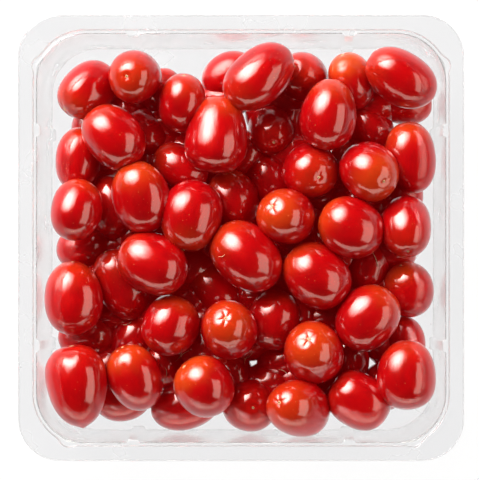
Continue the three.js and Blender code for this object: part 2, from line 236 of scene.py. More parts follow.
# One row for each fruit that shows: name, place across and up the tray as seen at rim height, length,
# width, heading of its stem end and its tilt out of level (degrees), how deep it lies, and how orange
# its shoulder is.
SEEN_FRUIT = (
    ("a1", -65.2, 63.0, 28.1, 22.6, 222, 20, Depth.UPPER, 0.25),
    ("a2", -45.2, 68.6, 26.4, 22.2, 190, 76, Depth.UPPER, 0.30),
    ("a3", -54.7, 42.6, 30.2, 24.7, 130, 0, Depth.TOP, 0.25),
    ("a4", -68.8, 34.1, 27.3, 20.0, 78, 0, Depth.MIDDLE, 0.30),
    ("a5", -70.3, 12.1, 26.8, 21.7, 78, -12, Depth.UPPER, 0.35),
    ("a6", -65.6, -4.3, 24.3, 20.0, 10, 0, Depth.FLOOR, 0.10),
    ("a7", -72.8, -25.6, 31.9, 24.7, 91, 0, Depth.UPPER, 0.30),
    ("a8", -50.9, -19.8, 32.4, 21.3, 116, 10, Depth.UNDER, 0.15),
    ("a9", -69.9, -62.8, 34.9, 25.6, 98, 0, Depth.UPPER, 0.10),
    ("b10", -37.9, -10.9, 31.5, 25.6, 152, 0, Depth.TOP, 0.20),
    ("b11", -42.2, 17.7, 31.5, 24.7, 104, 15, Depth.TOP, 0.60),
    ("b12", -55.0, 13.2, 28.1, 20.0, 100, 0, Depth.UNDER, 0.10),
    ("b13", -24.5, 57.1, 25.6, 20.4, 85, 20, Depth.MIDDLE, 0.25),
    ("b14", -11.0, 44.8, 32.8, 26.2, 85, -5, Depth.TOP, 0.45),
    ("b15", -21.7, 9.4, 30.7, 26.6, 257, 5, Depth.TOP, 0.35),
    ("b16", -26.0, 30.2, 25.6, 18.3, 150, 0, Depth.UNDER, 0.20),
    ("b17", -3.4, 16.4, 26.4, 21.7, 110, 0, Depth.UNDER, 0.30),
    ("b18", -5.1, 69.2, 24.7, 19.6, 30, 0, Depth.MIDDLE, 0.15),
    ("b19", 7.5, 68.5, 34.5, 24.3, 222, 8, Depth.TOP, 0.15),
    ("b20", 26.2, 67.9, 25.6, 21.7, 129, 62, Depth.MIDDLE, 0.15),
    ("c21", 37.3, 52.7, 30.7, 23.9, 84, 0, Depth.TOP, 0.40),
    ("c22", 47.1, 66.5, 25.6, 19.6, 110, 20, Depth.MIDDLE, 1.00),
    ("c23", 68.1, 68.4, 32.8, 23.0, 149, 0, Depth.TOP, 0.20),
    ("c24", 68.6, 56.0, 24.3, 17.5, 0, 0, Depth.FLOOR, 0.10),
    ("c25", 55.4, 47.7, 24.3, 20.0, 120, 0, Depth.FLOOR, 0.10),
    ("c26", 72.0, 34.1, 30.7, 21.3, 100, 0, Depth.MIDDLE, 0.60),
    ("c27", 55.0, 28.5, 29.0, 25.1, -38, 58, Depth.TOP, 0.55),
    ("c28", 29.2, 28.5, 26.8, 23.9, -40, 68, Depth.UPPER, 0.20),
    ("c29", 12.9, 46.0, 24.7, 20.7, -80, 60, Depth.UNDER, 0.05),
    ("c30", 11.5, 24.3, 24.7, 20.0, 120, 0, Depth.FLOOR, 0.05),
    ("d31", 19.0, 8.9, 26.4, 23.9, 145, 55, Depth.HIGH, 0.60),
    ("d32", 47.0, 4.4, 29.0, 25.3, 155, 0, Depth.TOP, 0.60),
    ("d33", 70.2, 4.9, 28.1, 22.2, -88, 38, Depth.MIDDLE, 0.10),
    ("d34", 2.1, -7.7, 34.1, 26.8, 138, 0, Depth.TOP, 0.40),
    ("d35", 32.4, -16.2, 31.5, 26.4, 138, 0, Depth.TOP, 0.40),
    ("d36", 54.1, -12.8, 25.6, 20.4, 75, 0, Depth.FLOOR, 0.05),
    ("d37", 71.4, -21.9, 24.3, 21.3, 110, 20, Depth.MIDDLE, 0.50),
    ("d38", 53.9, -34.1, 30.2, 25.6, 48, 0, Depth.TOP, 0.45),
    ("d39", -11.7, -22.2, 29.0, 20.0, 133, 0, Depth.UNDER, 0.60),
    ("e40", 13.8, -34.9, 26.4, 22.6, 82, 0, Depth.UNDER, 0.20),
    ("e41", -30.2, -37.3, 26.4, 24.3, 70, 0, Depth.TOP, 0.45),
    ("e42", -5.3, -39.2, 29.0, 24.3, 100, 68, Depth.TOP, 0.50),
    ("e43", 30.7, -49.0, 28.5, 26.0, 107, 62, Depth.TOP, 0.60),
    ("e44", 24.7, -72.8, 32.4, 24.3, 160, 56, Depth.TOP, 0.40),
    ("e45", -15.6, -63.3, 26.8, 25.1, 135, 20, Depth.TOP, 0.80),
    ("e46", -45.2, -59.4, 29.4, 23.0, 112, 12, Depth.TOP, 0.65),
    ("e47", -51.5, -67.8, 24.3, 18.3, 5, 0, Depth.FLOOR, 0.10),
    ("e48", -23.4, -71.1, 30.7, 20.9, 15, 0, Depth.UNDER, 0.10),
    ("e49", 3.8, -71.2, 26.4, 23.0, -20, 83, Depth.UNDER, 0.05),
    ("f50", 50.6, -69.0, 27.3, 24.0, 150, 0, Depth.MIDDLE, 0.10),
    ("f51", 70.4, -58.4, 29.8, 25.1, 88, 0, Depth.HIGH, 0.25),
    ("f52", 69.0, -43.5, 21.7, 18.3, 120, 0, Depth.FLOOR, 0.10),
    ("f53", -64.3, -43.5, 24.7, 19.2, 0, 0, Depth.FLOOR, 0.05),
    ("f54", -47.7, -42.6, 23.4, 19.2, 60, 0, Depth.FLOOR, 0.05),
    ("f55", 44.6, -52.0, 23.4, 18.3, 92, 0, Depth.FLOOR, 0.05),
    ("f56", -41.7, 45.6, 24.3, 20.0, 160, 0, Depth.LOW, 0.10),
    ("f57", -62.6, 48.0, 22.0, 18.7, 60, 0, Depth.FLOOR, 0.10),
    ("f58", -33.6, 60.2, 23.0, 19.2, 95, 0, Depth.FLOOR, 0.10),
    ("f59", 17.9, -52.8, 23.0, 18.3, 10, 0, Depth.FLOOR, 0.05),
    ("f60", 37.1, -33.2, 23.0, 19.2, 30, 0, Depth.FLOOR, 0.05),
    ("f61", 34.0, -66.0, 23.0, 18.7, 0, 0, Depth.FLOOR, 0.05),
    ("f62", 68.6, 17.0, 23.0, 18.3, 80, 0, Depth.FLOOR, 0.10),
    ("f63", 61.3, -62.9, 21.0, 17.4, 105, 0, Depth.FLOOR, 0.05),
)

# the fruit whose form or stem end isn't the plain one
CHARACTERS = {
    "a1": Character(Scar.STAR, taper=0.03),
    "a2": Character(taper=0.04),
    "a7": Character(taper=-0.04, dents=(Dent(1.5, 14.0, 3.0, 0.5),)),
    "a9": Character(
        Scar.STAR, taper=0.14, blunt=0.15, nub=1.0,
        dents=(Dent(-6.0, 7.0, 1.8, 0.45), Dent(-2.5, 14.5, 3.0, 0.8)),
    ),
    "b10": Character(Scar.SMOOTH, taper=-0.03),
    "b11": Character(Scar.STAR, taper=-0.04),
    "b14": Character(
        Scar.SMOOTH, taper=-0.17, blunt=0.4,
        dents=(Dent(6.7, -5.4, 1.3, 0.35), Dent(-1.5, -12.5, 1.0, 0.3)),
    ),
    "b15": Character(Scar.STAR),
    "b19": Character(Scar.STAR, taper=0.03),
    "c21": Character(Scar.SMOOTH, taper=-0.10),
    "c22": Character(Scar.STAR),
    "c26": Character(Scar.SMOOTH, taper=0.05),
    "d31": Character(Scar.STAR),
    "d32": Character(Scar.SMOOTH, dents=(Dent(-10.9, 3.2, 1.5, 0.4),)),
    "e42": Character(Scar.STAR),
    "e43": Character(Scar.STAR),
    "e44": Character(Scar.STAR),
    "e45": Character(Scar.STAR, dents=(Dent(5.2, 5.1, 1.5, 0.35),)),
    "e46": Character(Scar.SMOOTH, dents=(Dent(-4.3, 4.5, 1.5, 0.45),)),
    "f50": Character(blunt=0.3),
    "f51": Character(Scar.SMOOTH, taper=-0.10, blunt=0.1),
}

# bare spots where the floor shows between the fruit and beside the heap: place across and up, and radius
BARE_SPOTS = (
    (0.7, 51.8, 1.5),
    (5.1, -53.8, 1.2),
    (54.5, -53.4, 2.2),
    (-19.5, 76.0, 5.5),
    (-70.5, 78.5, 6.0),
    (70.5, -78.5, 6.0),
    (26.0, 81.5, 4.0),
    (80.5, 12.5, 4.0),
    (-81.5, 21.0, 4.0),
    (44.0, -82.0, 3.5),
)


class SeededDraws:
    """Numbers from 0 to 1 in a fixed order."""

    MULTIPLIER = 1664525
    INCREMENT = 1013904223
    RANGE = 4294967296
    TEXTURE_REACH = 400.0

    def __init__(self, seed: int) -> None:
        """Starts the order at a seed.

        Args:
            seed: Where the order starts.
        """
        self.state = seed

    def unit(self) -> float:
        """The next number from 0 to 1."""
        self.state = (self.state * self.MULTIPLIER + self.INCREMENT) % self.RANGE
        return self.state / self.RANGE

    def between(self, low: float, high: float) -> float:
        """The next number between two bounds."""
        return low + (high - low) * self.unit()

    def turn(self) -> float:
        """A random angle of the full circle."""
        return 2 * math.pi * self.unit()

    def texture_shift(self) -> np.ndarray:
        """A random shift that gives one form its own part of a texture."""
        return np.array([self.between(0.0, self.TEXTURE_REACH) for _ in range(3)])


@dataclass
class SettledHeap:
    """Finds where every fruit lies: the seen ones by their places, the hidden ones where there is room."""

    heap_top: float = 45.5
    fill_layers: tuple[tuple[float, float], ...] = ((11.0, 17.0), (23.0, 18.0))
    fill_grid: int = 6
    fill_reach: float = 75.0
    fill_scatter: float = 3.0
    fill_length: tuple[float, float] = (25.0, 29.0)
    fill_width: tuple[float, float] = (19.5, 22.5)
    bare_room: float = 11.5
    draw_seed: int = 7
    steps: int = 300
    sink: float = 0.03
    push_share: float = 0.25
    hold_seen: float = 0.6
    hold_deep: float = 0.35
    hold_fill: float = 0.003
    end_ball: float = 0.44
    side_play: float = 0.1
    floor_play: float = 0.2
    settle_corner: float = 24.0

    def fruit(self) -> list[Fruit]:
        """Places all the fruit and lets the heap come to rest.

        Returns:
            Every fruit at its resting place.
        """
        heap = self._seen()
        self._add_fill(heap)
        for one in heap:
            one.balls = self._balls(one)
        for _ in range(self.steps):
            self._push_apart(heap)
            for one in heap:
                self._sink_and_hold(one)
                for ball in one.balls:
                    self._keep_inside(one, ball)
        return heap

    def _seen(self) -> list[Fruit]:
        """The fruit that shows, each at the height of its layer.

        Returns:
            The fruit, before the heap settles.
        """
        heap = []
        for name, across, up, length, width, heading, tilt, depth, orange in SEEN_FRUIT:
            z = depth.value
            drop = TRAY.rim_height - z
            x, y = EYE.along_sight(across, up, drop)
            length *= EYE.reach(drop)
            width *= EYE.reach(drop)
            hold = self.hold_deep if depth in (Depth.LOW, Depth.FLOOR) else self.hold_seen
            character = CHARACTERS.get(name, Character())
            heap.append(
                Fruit(
                    name, (across, up), x, y, z, length, width, math.radians(heading), math.radians(tilt),
                    depth, orange, hold, character,
                )
            )
        return heap

    def _add_fill(self, heap: list[Fruit]) -> None:
        """Adds the hidden fruit wherever a grid place is far enough from all others.

        Args:
            heap: The fruit so far, which grows.
        """
        draws = SeededDraws(self.draw_seed)
        first_drop = TRAY.rim_height - self.fill_layers[0][0]
        bare = [(EYE.along_sight(x, y, first_drop), radius) for x, y, radius in BARE_SPOTS]
        step = 2 * self.fill_reach / (self.fill_grid - 1)
        for height, room in self.fill_layers:
            for i in range(self.fill_grid):
                for j in range(self.fill_grid):
                    x = i * step - self.fill_reach + self.fill_scatter * (2 * draws.unit() - 1)
                    y = j * step - self.fill_reach + self.fill_scatter * (2 * draws.unit() - 1)
                    length = draws.between(*self.fill_length)
                    width = draws.between(*self.fill_width)
                    heading = draws.turn()
                    crowded = any(math.dist((x, y, height), (o.x, o.y, o.z)) < room for o in heap)
                    blocked = any(math.dist((x, y), spot) < self.bare_room + radius for spot, radius in bare)
                    if not crowded and not blocked:
                        name = f"fill{len(heap)}"
                        fill = Fruit(
                            name, (x, y), x, y, height, length, width, heading, 0.0,
                            Depth.HIDDEN, 0.2, self.hold_fill,
                        )
                        heap.append(fill)

    def _balls(self, one: Fruit) -> list[tuple[tuple[float, float, float], float]]:
        """The three balls that stand for a fruit while the heap settles.

        Args:
            one: The fruit.

        Returns:
            The offset of each ball from the fruit's middle, and its radius.
        """
        along = one.axis()
        reach = one.length / 2 - self.end_ball * one.width
        balls = []
        for end in (-1, 0, 1):
            offset = tuple(part * reach * end for part in along)
            balls.append((offset, one.width * (0.5 if end == 0 else self.end_ball)))
        return balls

    @staticmethod
    def _overlap(a: Fruit, b: Fruit) -> tuple[float, tuple[float, float, float]]:
        """The overlap of two fruit and the direction that parts them.

        Args:
            a: The first fruit.
            b: The second fruit.

        Returns:
            The deepest overlap of their balls and the unit direction from the second to the first.
        """
        deepest = 0.0
        away = (0.0, 0.0, 0.0)
        for p, p_radius in a.balls:
            for q, q_radius in b.balls:
                dx = a.x + p[0] - b.x - q[0]
                dy = a.y + p[1] - b.y - q[1]
                dz = a.z + p[2] - b.z - q[2]
                distance = math.sqrt(dx * dx + dy * dy + dz * dz) + TINY
                depth = p_radius + q_radius - distance
                if depth > deepest:
                    deepest = depth
                    away = (dx / distance, dy / distance, dz / distance)
        return deepest, away

    def _push_apart(self, heap: list[Fruit]) -> None:
        """Pushes overlapping fruit apart, each by the same share of the overlap.

        Args:
            heap: All the fruit, which move.
        """
        moves = [[0.0, 0.0, 0.0] for _ in heap]
        for i, a in enumerate(heap):
            for j in range(i + 1, len(heap)):
                b = heap[j]
                reach = (a.length + b.length) / 2
                if abs(a.x - b.x) > reach or abs(a.y - b.y) > reach:
                    continue
                depth, away = self._overlap(a, b)
                for axis in range(3):
                    moves[i][axis] += away[axis] * depth * self.push_share
                    moves[j][axis] -= away[axis] * depth * self.push_share
        for one, move in zip(heap, moves):
            one.x += move[0]
            one.y += move[1]
            one.z += move[2]

    def _sink_and_hold(self, one: Fruit) -> None:
        """Lets a fruit sink a little and draws it back towards its own place.

        Args:
            one: The fruit, which moves.
        """
        one.z -= self.sink
        home = one.home
        if one.depth is not Depth.HIDDEN:
            home = EYE.along_sight(*one.home, TRAY.rim_height - one.z)
        one.x += (home[0] - one.x) * one.hold
        one.y += (home[1] - one.y) * one.hold

    def _keep_inside(self, one: Fruit, ball: tuple[tuple[float, float, float], float]) -> None:
        """Keeps one ball of a fruit off the walls, corners and floor, and under the heap's top.

        Args:
            one: The fruit, which moves.
            ball: The offset of the ball from the fruit's middle, and its radius.
        """
        (across, up, rise), radius = ball
        half = TRAY.wall_half(one.z + rise) - self.side_play
        limit = half - radius
        over_x = abs(one.x + across) - limit
        if over_x > 0:
            one.x -= math.copysign(over_x, one.x + across)
        over_y = abs(one.y + up) - limit
        if over_y > 0:
            one.y -= math.copysign(over_y, one.y + up)
        x = one.x + across
        y = one.y + up
        corner_x = abs(x) - (half - self.settle_corner)
        corner_y = abs(y) - (half - self.settle_corner)
        over_corner = math.hypot(corner_x, corner_y) - (self.settle_corner - radius)
        if corner_x > 0 and corner_y > 0 and over_corner > 0:
            share = over_corner / math.hypot(corner_x, corner_y)
            one.x -= math.copysign(corner_x * share, x)
            one.y -= math.copysign(corner_y * share, y)
        z = one.z + rise
        one.z += max(0.0, TRAY.solid_floor + self.floor_play + radius - z)
        one.z -= max(0.0, z + radius - self.heap_top)


@dataclass
class DeepFruit:
    """The fruit on the floor of the tray that closes the chinks of the heap, as seen from above."""

    reach: float = 64.0
    widest: float = 84.0
    grid_step: float = 1.3
    length: tuple[float, float] = (22.0, 26.0)
    width: tuple[float, float] = (17.0, 20.0)
    headings: int = 8
    over_floor: float = 0.4
    sure_cover: float = 0.93
    near_cover: float = 1.0
    most: int = 60
    draw_seed: int = 11

    def close_chinks(self, heap: list[Fruit]) -> None:
        """Adds fruit under every chink that is neither a bare spot nor beside the walls.

        Args:
            heap: The settled fruit, which grows.
        """
        draws = SeededDraws(self.draw_seed)
        ticks = np.arange(-self.widest, self.widest + self.grid_step / 2, self.grid_step)
        places = np.stack(np.meshgrid(ticks, ticks), axis=-1).reshape(-1, 2)
        spots = np.array(BARE_SPOTS)
        bare = (np.linalg.norm(places[:, None] - spots[None, :, :2], axis=-1) < spots[:, 2]).any(axis=1)
        chinks = places[~bare & (np.abs(places).max(axis=1) < self.reach)]
        for one in heap:
            chinks = chinks[~self._under(chinks, one, self.sure_cover)]
        while len(chinks) and len(heap) < len(SEEN_FRUIT) + self.most:
            size = draws.between(*self.length), draws.between(*self.width)
            best = self._best(chinks, places[bare], size)
            if best is None:
                return
            chinks = chinks[~self._under(chinks, best, self.sure_cover)]
            heap.append(best)

    @staticmethod
    def _under(places: np.ndarray, one: Fruit, share: float) -> np.ndarray:
        """Which places lie within a share of a fruit's outline, as seen from above."""
        middle, unit = one.outline_seen()
        return np.linalg.norm((places - middle) @ unit.T, axis=1) < share

    def _best(self, chinks: np.ndarray, bare: np.ndarray, size: tuple[float, float]) -> Fruit | None:
        """The fruit that closes the most of what is open and keeps off the bare spots.

        Args:
            chinks: The open places.
            bare: The places that stay bare.
            size: The fruit's length and width.

        Returns:
            The fruit, lying on the floor, or None if none closes anything.
        """
        z = TRAY.sheet + self.over_floor + size[1] / 2
        best = None
        most = 0
        for place in chinks:
            for turn in range(self.headings):
                heading = math.pi * turn / self.headings
                x, y = EYE.along_sight(*place, TRAY.rim_height - z)
                fruit = Fruit("deep", (x, y), x, y, z, *size, heading, 0.0, Depth.HIDDEN, 0.1, 0.0)
                closed = self._under(chinks, fruit, self.sure_cover).sum()
                gain = closed - len(chinks) * self._under(bare, fruit, self.near_cover).any()
                if gain > most:
                    best, most = fruit, gain
        return best


# ---------------------------------------------------------------- node trees


class Shader:
    """A material's or a group's node tree, with short calls that add and join nodes."""

    def __init__(self, tree: bpy.types.NodeTree) -> None:
        """Wraps a tree.

        Args:
            tree: The node tree to add to.
        """
        self.tree = tree

    def node(self, kind: str, **settings: object) -> bpy.types.Node:
        """Adds a node and sets its own settings.

        Args:
            kind: The node's type name.
            **settings: Settings of the node by name.

        Returns:
            The new node.
        """
        made = self.tree.nodes.new(kind)
        for name, value in settings.items():
            setattr(made, name, value)
        return made

    def feed(self, node: bpy.types.Node, **values: object) -> bpy.types.Node:
        """Sets or joins a node's inputs by name, with spaces written as underscores.

        Args:
            node: The node to feed.
            **values: A plain value, or an output socket, for each input.

        Returns:
            The same node.
        """
        for name, value in values.items():
            self.set_input(node.inputs[name.replace("_", " ")], value)
        return node

    def set_input(self, socket: bpy.types.NodeSocket, value: object) -> None:
        """Sets one input to a plain value, or joins an output to it.

        Args:
            socket: The input.
            value: The plain value or the output socket.
        """
        if isinstance(value, bpy.types.NodeSocket):
            self.tree.links.new(value, socket)
        else:
            socket.default_value = value

    def math(self, operation: str, *values: object) -> bpy.types.NodeSocket:
        """Adds a Math node and returns its result.

        Args:
            operation: The Math node's operation.
            *values: Its inputs, in order.

        Returns:
            The result socket.
        """
        made = self.node("ShaderNodeMath", operation=operation)
        for socket, value in zip(made.inputs, values):
            self.set_input(socket, value)
        return made.outputs[0]

    def fade(self, value: object, start: float, end: float) -> bpy.types.NodeSocket:
        """A smooth step that is 0 at the start and 1 at the end.

        Args:
            value: The number that is measured.
            start: Where the step starts.
            end: Where the step ends.

        Returns:
            The step's socket.
        """
        made = self.node("ShaderNodeMapRange", interpolation_type="SMOOTHSTEP")
        self.feed(made, Value=value, From_Min=start, From_Max=end)
        return made.outputs["Result"]

    def spread(self, value: object, low: float, high: float) -> bpy.types.NodeSocket:
        """Spreads a number from 0 to 1 between two bounds."""
        made = self.node("ShaderNodeMapRange")
        self.feed(made, Value=value, To_Min=low, To_Max=high)
        return made.outputs["Result"]

    def mix(self, share: object, first: object, second: object) -> bpy.types.NodeSocket:
        """Mixes two colours.

        Args:
            share: How much of the second colour shows, from 0 to 1.
            first: The colour at 0.
            second: The colour at 1.

        Returns:
            The mixed colour's socket.
        """
        made = self.node("ShaderNodeMix", data_type="RGBA")
        self.set_input(made.inputs[0], share)
        self.set_input(made.inputs[6], first)
        self.set_input(made.inputs[7], second)
        return made.outputs[2]

    def attribute(self, name: str, output: str = "Fac") -> bpy.types.NodeSocket:
        """Reads a mesh attribute."""
        return self.node("ShaderNodeAttribute", attribute_name=name).outputs[output]

    def noise(self, place: object, scale: float, detail: float, stretch: float = 1.0) -> bpy.types.NodeSocket:
        """Soft noise, drawn out along the place's third axis if asked.

        Args:
            place: The place to look it up at.
            scale: Waves for each unit of place.
            detail: How many finer layers it has.
            stretch: How many times longer it is along the third axis.

        Returns:
            The noise from 0 to 1.
        """
        mapping = self.node("ShaderNodeMapping")
        self.feed(mapping, Vector=place, Scale=(1.0, 1.0, 1.0 / stretch))
        made = self.node("ShaderNodeTexNoise")
        self.feed(made, Vector=mapping.outputs[0], Scale=scale, Detail=detail, Roughness=0.5)
        return made.outputs["Fac"]

    def bump(self, strength: float, distance: float, height: object) -> bpy.types.NodeSocket:
        """Turns a height into a normal.

        Args:
            strength: How strongly the height shows.
            distance: How far a height of 1 stands out, in metres.
            height: The height's socket.

        Returns:
            The normal's socket.
        """
        made = self.node("ShaderNodeBump")
        self.feed(made, Strength=strength, Distance=distance, Height=height)
        return made.outputs["Normal"]

    def group(self, tree: bpy.types.NodeTree, **values: object) -> bpy.types.Node:
        """Places a shader group and feeds its inputs."""
        made = self.node("ShaderNodeGroup", node_tree=tree)
        return self.feed(made, **values)


def new_group(name: str, inputs: dict[str, tuple[str, object]], outputs: dict[str, str]) -> Shader:
    """Starts a shader group.

    Args:
        name: The group's name.
        inputs: Socket type and plain value of each input.
        outputs: Socket type of each output.

    Returns:
        The group's tree.
    """
    tree = bpy.data.node_groups.new(name, "ShaderNodeTree")
    for label, (kind, value) in inputs.items():
        socket = tree.interface.new_socket(label, in_out="INPUT", socket_type=kind)
        if value is not None:
            socket.default_value = value
    for label, kind in outputs.items():
        tree.interface.new_socket(label, in_out="OUTPUT", socket_type=kind)
    return Shader(tree)


def handling_marks_group() -> bpy.types.NodeTree:
    """Builds the group for faint smears, which the skin, the scars and the tray share.

    Returns:
        A group whose output is the smear, from 0 to 1.
    """
    inputs = {"Place": ("NodeSocketVector", None), "Smear Size": ("NodeSocketFloat", 8.0)}
    shader = new_group("handling marks", inputs, {"Smear": "NodeSocketFloat"})
    given = shader.node("NodeGroupInput")
    scaled = shader.node("ShaderNodeVectorMath", operation="DIVIDE")
    shader.set_input(scaled.inputs[0], given.outputs["Place"])
    shader.set_input(scaled.inputs[1], given.outputs["Smear Size"])
    smear = shader.fade(shader.noise(scaled.outputs[0], 1.0, 3.0), 0.48, 0.7)
    shader.feed(shader.node("NodeGroupOutput"), Smear=smear)
    return shader.tree


def waviness_group() -> bpy.types.NodeTree:
    """Builds the group for slow waves in a surface, drawn out along one axis.

    Returns:
        A group whose output is the wave's height, from 0 to 1.
    """
    inputs = {
        "Place": ("NodeSocketVector", None),
        "Wave Length": ("NodeSocketFloat", 6.0),
        "Ripple": ("NodeSocketFloat", 0.3),
    }
    shader = new_group("waviness", inputs, {"Height": "NodeSocketFloat"})
    given = shader.node("NodeGroupInput")
    scaled = shader.node("ShaderNodeVectorMath", operation="DIVIDE")
    shader.set_input(scaled.inputs[0], given.outputs["Place"])
    shader.set_input(scaled.inputs[1], given.outputs["Wave Length"])
    slow = shader.noise(scaled.outputs[0], 1.0, 1.0, stretch=2.5)
    quick = shader.noise(scaled.outputs[0], 4.0, 1.0, stretch=4.0)
    ripple = shader.math("MULTIPLY", quick, given.outputs["Ripple"])
    shader.feed(shader.node("NodeGroupOutput"), Height=shader.math("ADD", slow, ripple))
    return shader.tree


@dataclass
class SharedEffects:
    """The shader groups that more than one finish uses."""

    marks: bpy.types.NodeTree = field(default_factory=handling_marks_group)
    waves: bpy.types.NodeTree = field(default_factory=waviness_group)


# ---------------------------------------------------------------- finishes


def new_material(name: str) -> tuple[bpy.types.Material, Shader, bpy.types.Node, bpy.types.Node]:
    """Starts a material with a Principled shader.

    Args:
        name: The material's name.

    Returns:
        The material, its tree, its Principled node and its output node.
    """
    material = bpy.data.materials.new(name)
    material.use_nodes = True
    material.node_tree.nodes.clear()
    shader = Shader(material.node_tree)
    principled = shader.node("ShaderNodeBsdfPrincipled")
    output = shader.node("ShaderNodeOutputMaterial")
    shader.tree.links.new(principled.outputs[0], output.inputs["Surface"])
    return material, shader, principled, output


@dataclass(frozen=True)
class TomatoSkin:
    """Glossy ripe skin: deep red, orange towards the stem, with fine pale flecks, faint smears and a painted
    red glow that lightens its shade.
    """

    red: tuple[float, float, float, float] = (0.34, 0.0009, 0.002, 1.0)
    deep: tuple[float, float, float, float] = (0.25, 0.0006, 0.002, 1.0)
    orange: tuple[float, float, float, float] = (0.46, 0.045, 0.004, 1.0)
    fleck: tuple[float, float, float, float] = (0.62, 0.16, 0.06, 1.0)
    haze: tuple[float, float, float, float] = (1.0, 0.12, 0.06, 1.0)
    # painted light: a faint even red glow given out by the skin, which lightens its shaded sides and the
    # chinks between the fruit
    painted_glow: tuple[float, float, float, float] = (0.034, 0.0, 0.0003, 1.0)
    roughness: float = 0.28
    smeared: float = 0.38
    gloss: float = 0.06
    mottle_scale: float = 0.16
    mottle_stretch: float = 1.6
    orange_reach: tuple[float, float] = (0.10, 0.72)
    orange_patches: tuple[float, float] = (-0.35, 0.25)
    smear_size: float = 7.0
    wave_length: float = 5.0
    ripple: float = 0.14
    wave_strength: float = 0.45
    dimple_scale: float = 0.2
    dimple_stretch: float = 2.5
    pore_scale: float = 1.6
    pore_height: float = 0.03
    gloss_strength: float = 0.6
    relief: float = 0.0004
    fleck_scale: float = 0.55
    fleck_edge: tuple[float, float] = (0.05, 0.16)
    fleck_share: float = 0.6

    def build(self, effects: SharedEffects) -> bpy.types.Material:
        """Makes the skin's material.

        Args:
            effects: The shared shader groups.

        Returns:
            The material.
        """
        material, shader, principled, _ = new_material("tomato skin")
        place = shader.attribute("skin_place", "Vector")
        from_stem = shader.attribute("from_stem")
        ripeness = shader.attribute("shoulder_orange")
        mottle = shader.noise(place, self.mottle_scale, 2.0, stretch=self.mottle_stretch)
        base = shader.mix(shader.fade(mottle, 0.35, 0.75), self.red, self.deep)
        near_stem = shader.math("SUBTRACT", 1.0, shader.fade(from_stem, *self.orange_reach))
        patchy = shader.math("ADD", near_stem, shader.spread(mottle, *self.orange_patches))
        share = shader.math("MULTIPLY", shader.fade(patchy, 0.0, 0.85), ripeness)
        base = shader.mix(share, base, self.orange)
        base = shader.mix(self._flecks(shader, place), base, self.fleck)
        marks = shader.group(effects.marks, Place=place, Smear_Size=self.smear_size)
        waves = shader.group(effects.waves, Place=place, Wave_Length=self.wave_length, Ripple=self.ripple)
        rough = shader.spread(marks.outputs["Smear"], self.roughness, self.smeared)
        pores = shader.math("MULTIPLY", shader.noise(place, self.pore_scale, 1.0), self.pore_height)
        dimples = shader.noise(place, self.dimple_scale, 2.0, stretch=self.dimple_stretch)
        gloss_height = shader.math("ADD", dimples, pores)
        # the emission is painted light, a faint red glow that lifts the skin's shade
        shader.feed(
            principled, Base_Color=base, Roughness=rough, IOR=1.5, Specular_Tint=self.haze,
            Normal=shader.bump(self.wave_strength, self.relief, waves.outputs["Height"]),
            Subsurface_Weight=0.10, Subsurface_Radius=(1.0, 0.08, 0.04), Subsurface_Scale=0.003,
            Coat_Weight=1.0, Coat_Roughness=self.gloss, Coat_IOR=1.5,
            Coat_Normal=shader.bump(self.gloss_strength, self.relief, gloss_height),
            Emission_Color=self.painted_glow, Emission_Strength=1.0,
        )
        return material

    def _flecks(self, shader: Shader, place: bpy.types.NodeSocket) -> bpy.types.NodeSocket:
        """Sparse pale flecks a few tenths of a millimetre across.

        Args:
            shader: The skin's tree.
            place: The place on the skin.

        Returns:
            How much fleck colour shows, from 0 to 1.
        """
        cells = shader.node("ShaderNodeTexVoronoi")
        shader.feed(cells, Vector=place, Scale=self.fleck_scale, Randomness=1.0)
        dots = shader.math("SUBTRACT", 1.0, shader.fade(cells.outputs["Distance"], *self.fleck_edge))
        chosen = shader.fade(shader.noise(place, 0.3, 1.0), 0.5, 0.62)
        return shader.math("MULTIPLY", shader.math("MULTIPLY", dots, chosen), self.fleck_share)


@dataclass(frozen=True)
class CorkyScar:
    """The dry, pale brown ring where the stem broke off."""

    ring: tuple[float, float, float, float] = (0.62, 0.47, 0.24, 1.0)
    pit: tuple[float, float, float, float] = (0.05, 0.02, 0.01, 1.0)
    edge: tuple[float, float, float, float] = (0.30, 0.09, 0.03, 1.0)
    roughness: tuple[float, float] = (0.55, 0.8)
    smear_size: float = 0.6
    grain_scale: float = 4.0
    grain_strength: float = 0.6
    relief: float = 0.0002

    def build(self, effects: SharedEffects) -> bpy.types.Material:
        """Makes the scar's material.

        Args:
            effects: The shared shader groups.

        Returns:
            The material.
        """
        material, shader, principled, _ = new_material("corky scar")
        place = shader.attribute("skin_place", "Vector")
        outward = shader.attribute("from_pit")
        marks = shader.group(effects.marks, Place=place, Smear_Size=self.smear_size)
        grain = shader.noise(place, self.grain_scale, 3.0)
        ring = shader.mix(shader.fade(grain, 0.3, 0.7), self.ring, self.edge)
        inner = shader.mix(shader.fade(outward, 0.15, 0.42), self.pit, ring)
        colour = shader.mix(shader.fade(outward, 0.75, 1.0), inner, self.edge)
        rough = shader.spread(marks.outputs["Smear"], *self.roughness)
        normal = shader.bump(self.grain_strength, self.relief, grain)
        shader.feed(principled, Base_Color=colour, Roughness=rough, Normal=normal)
        return material


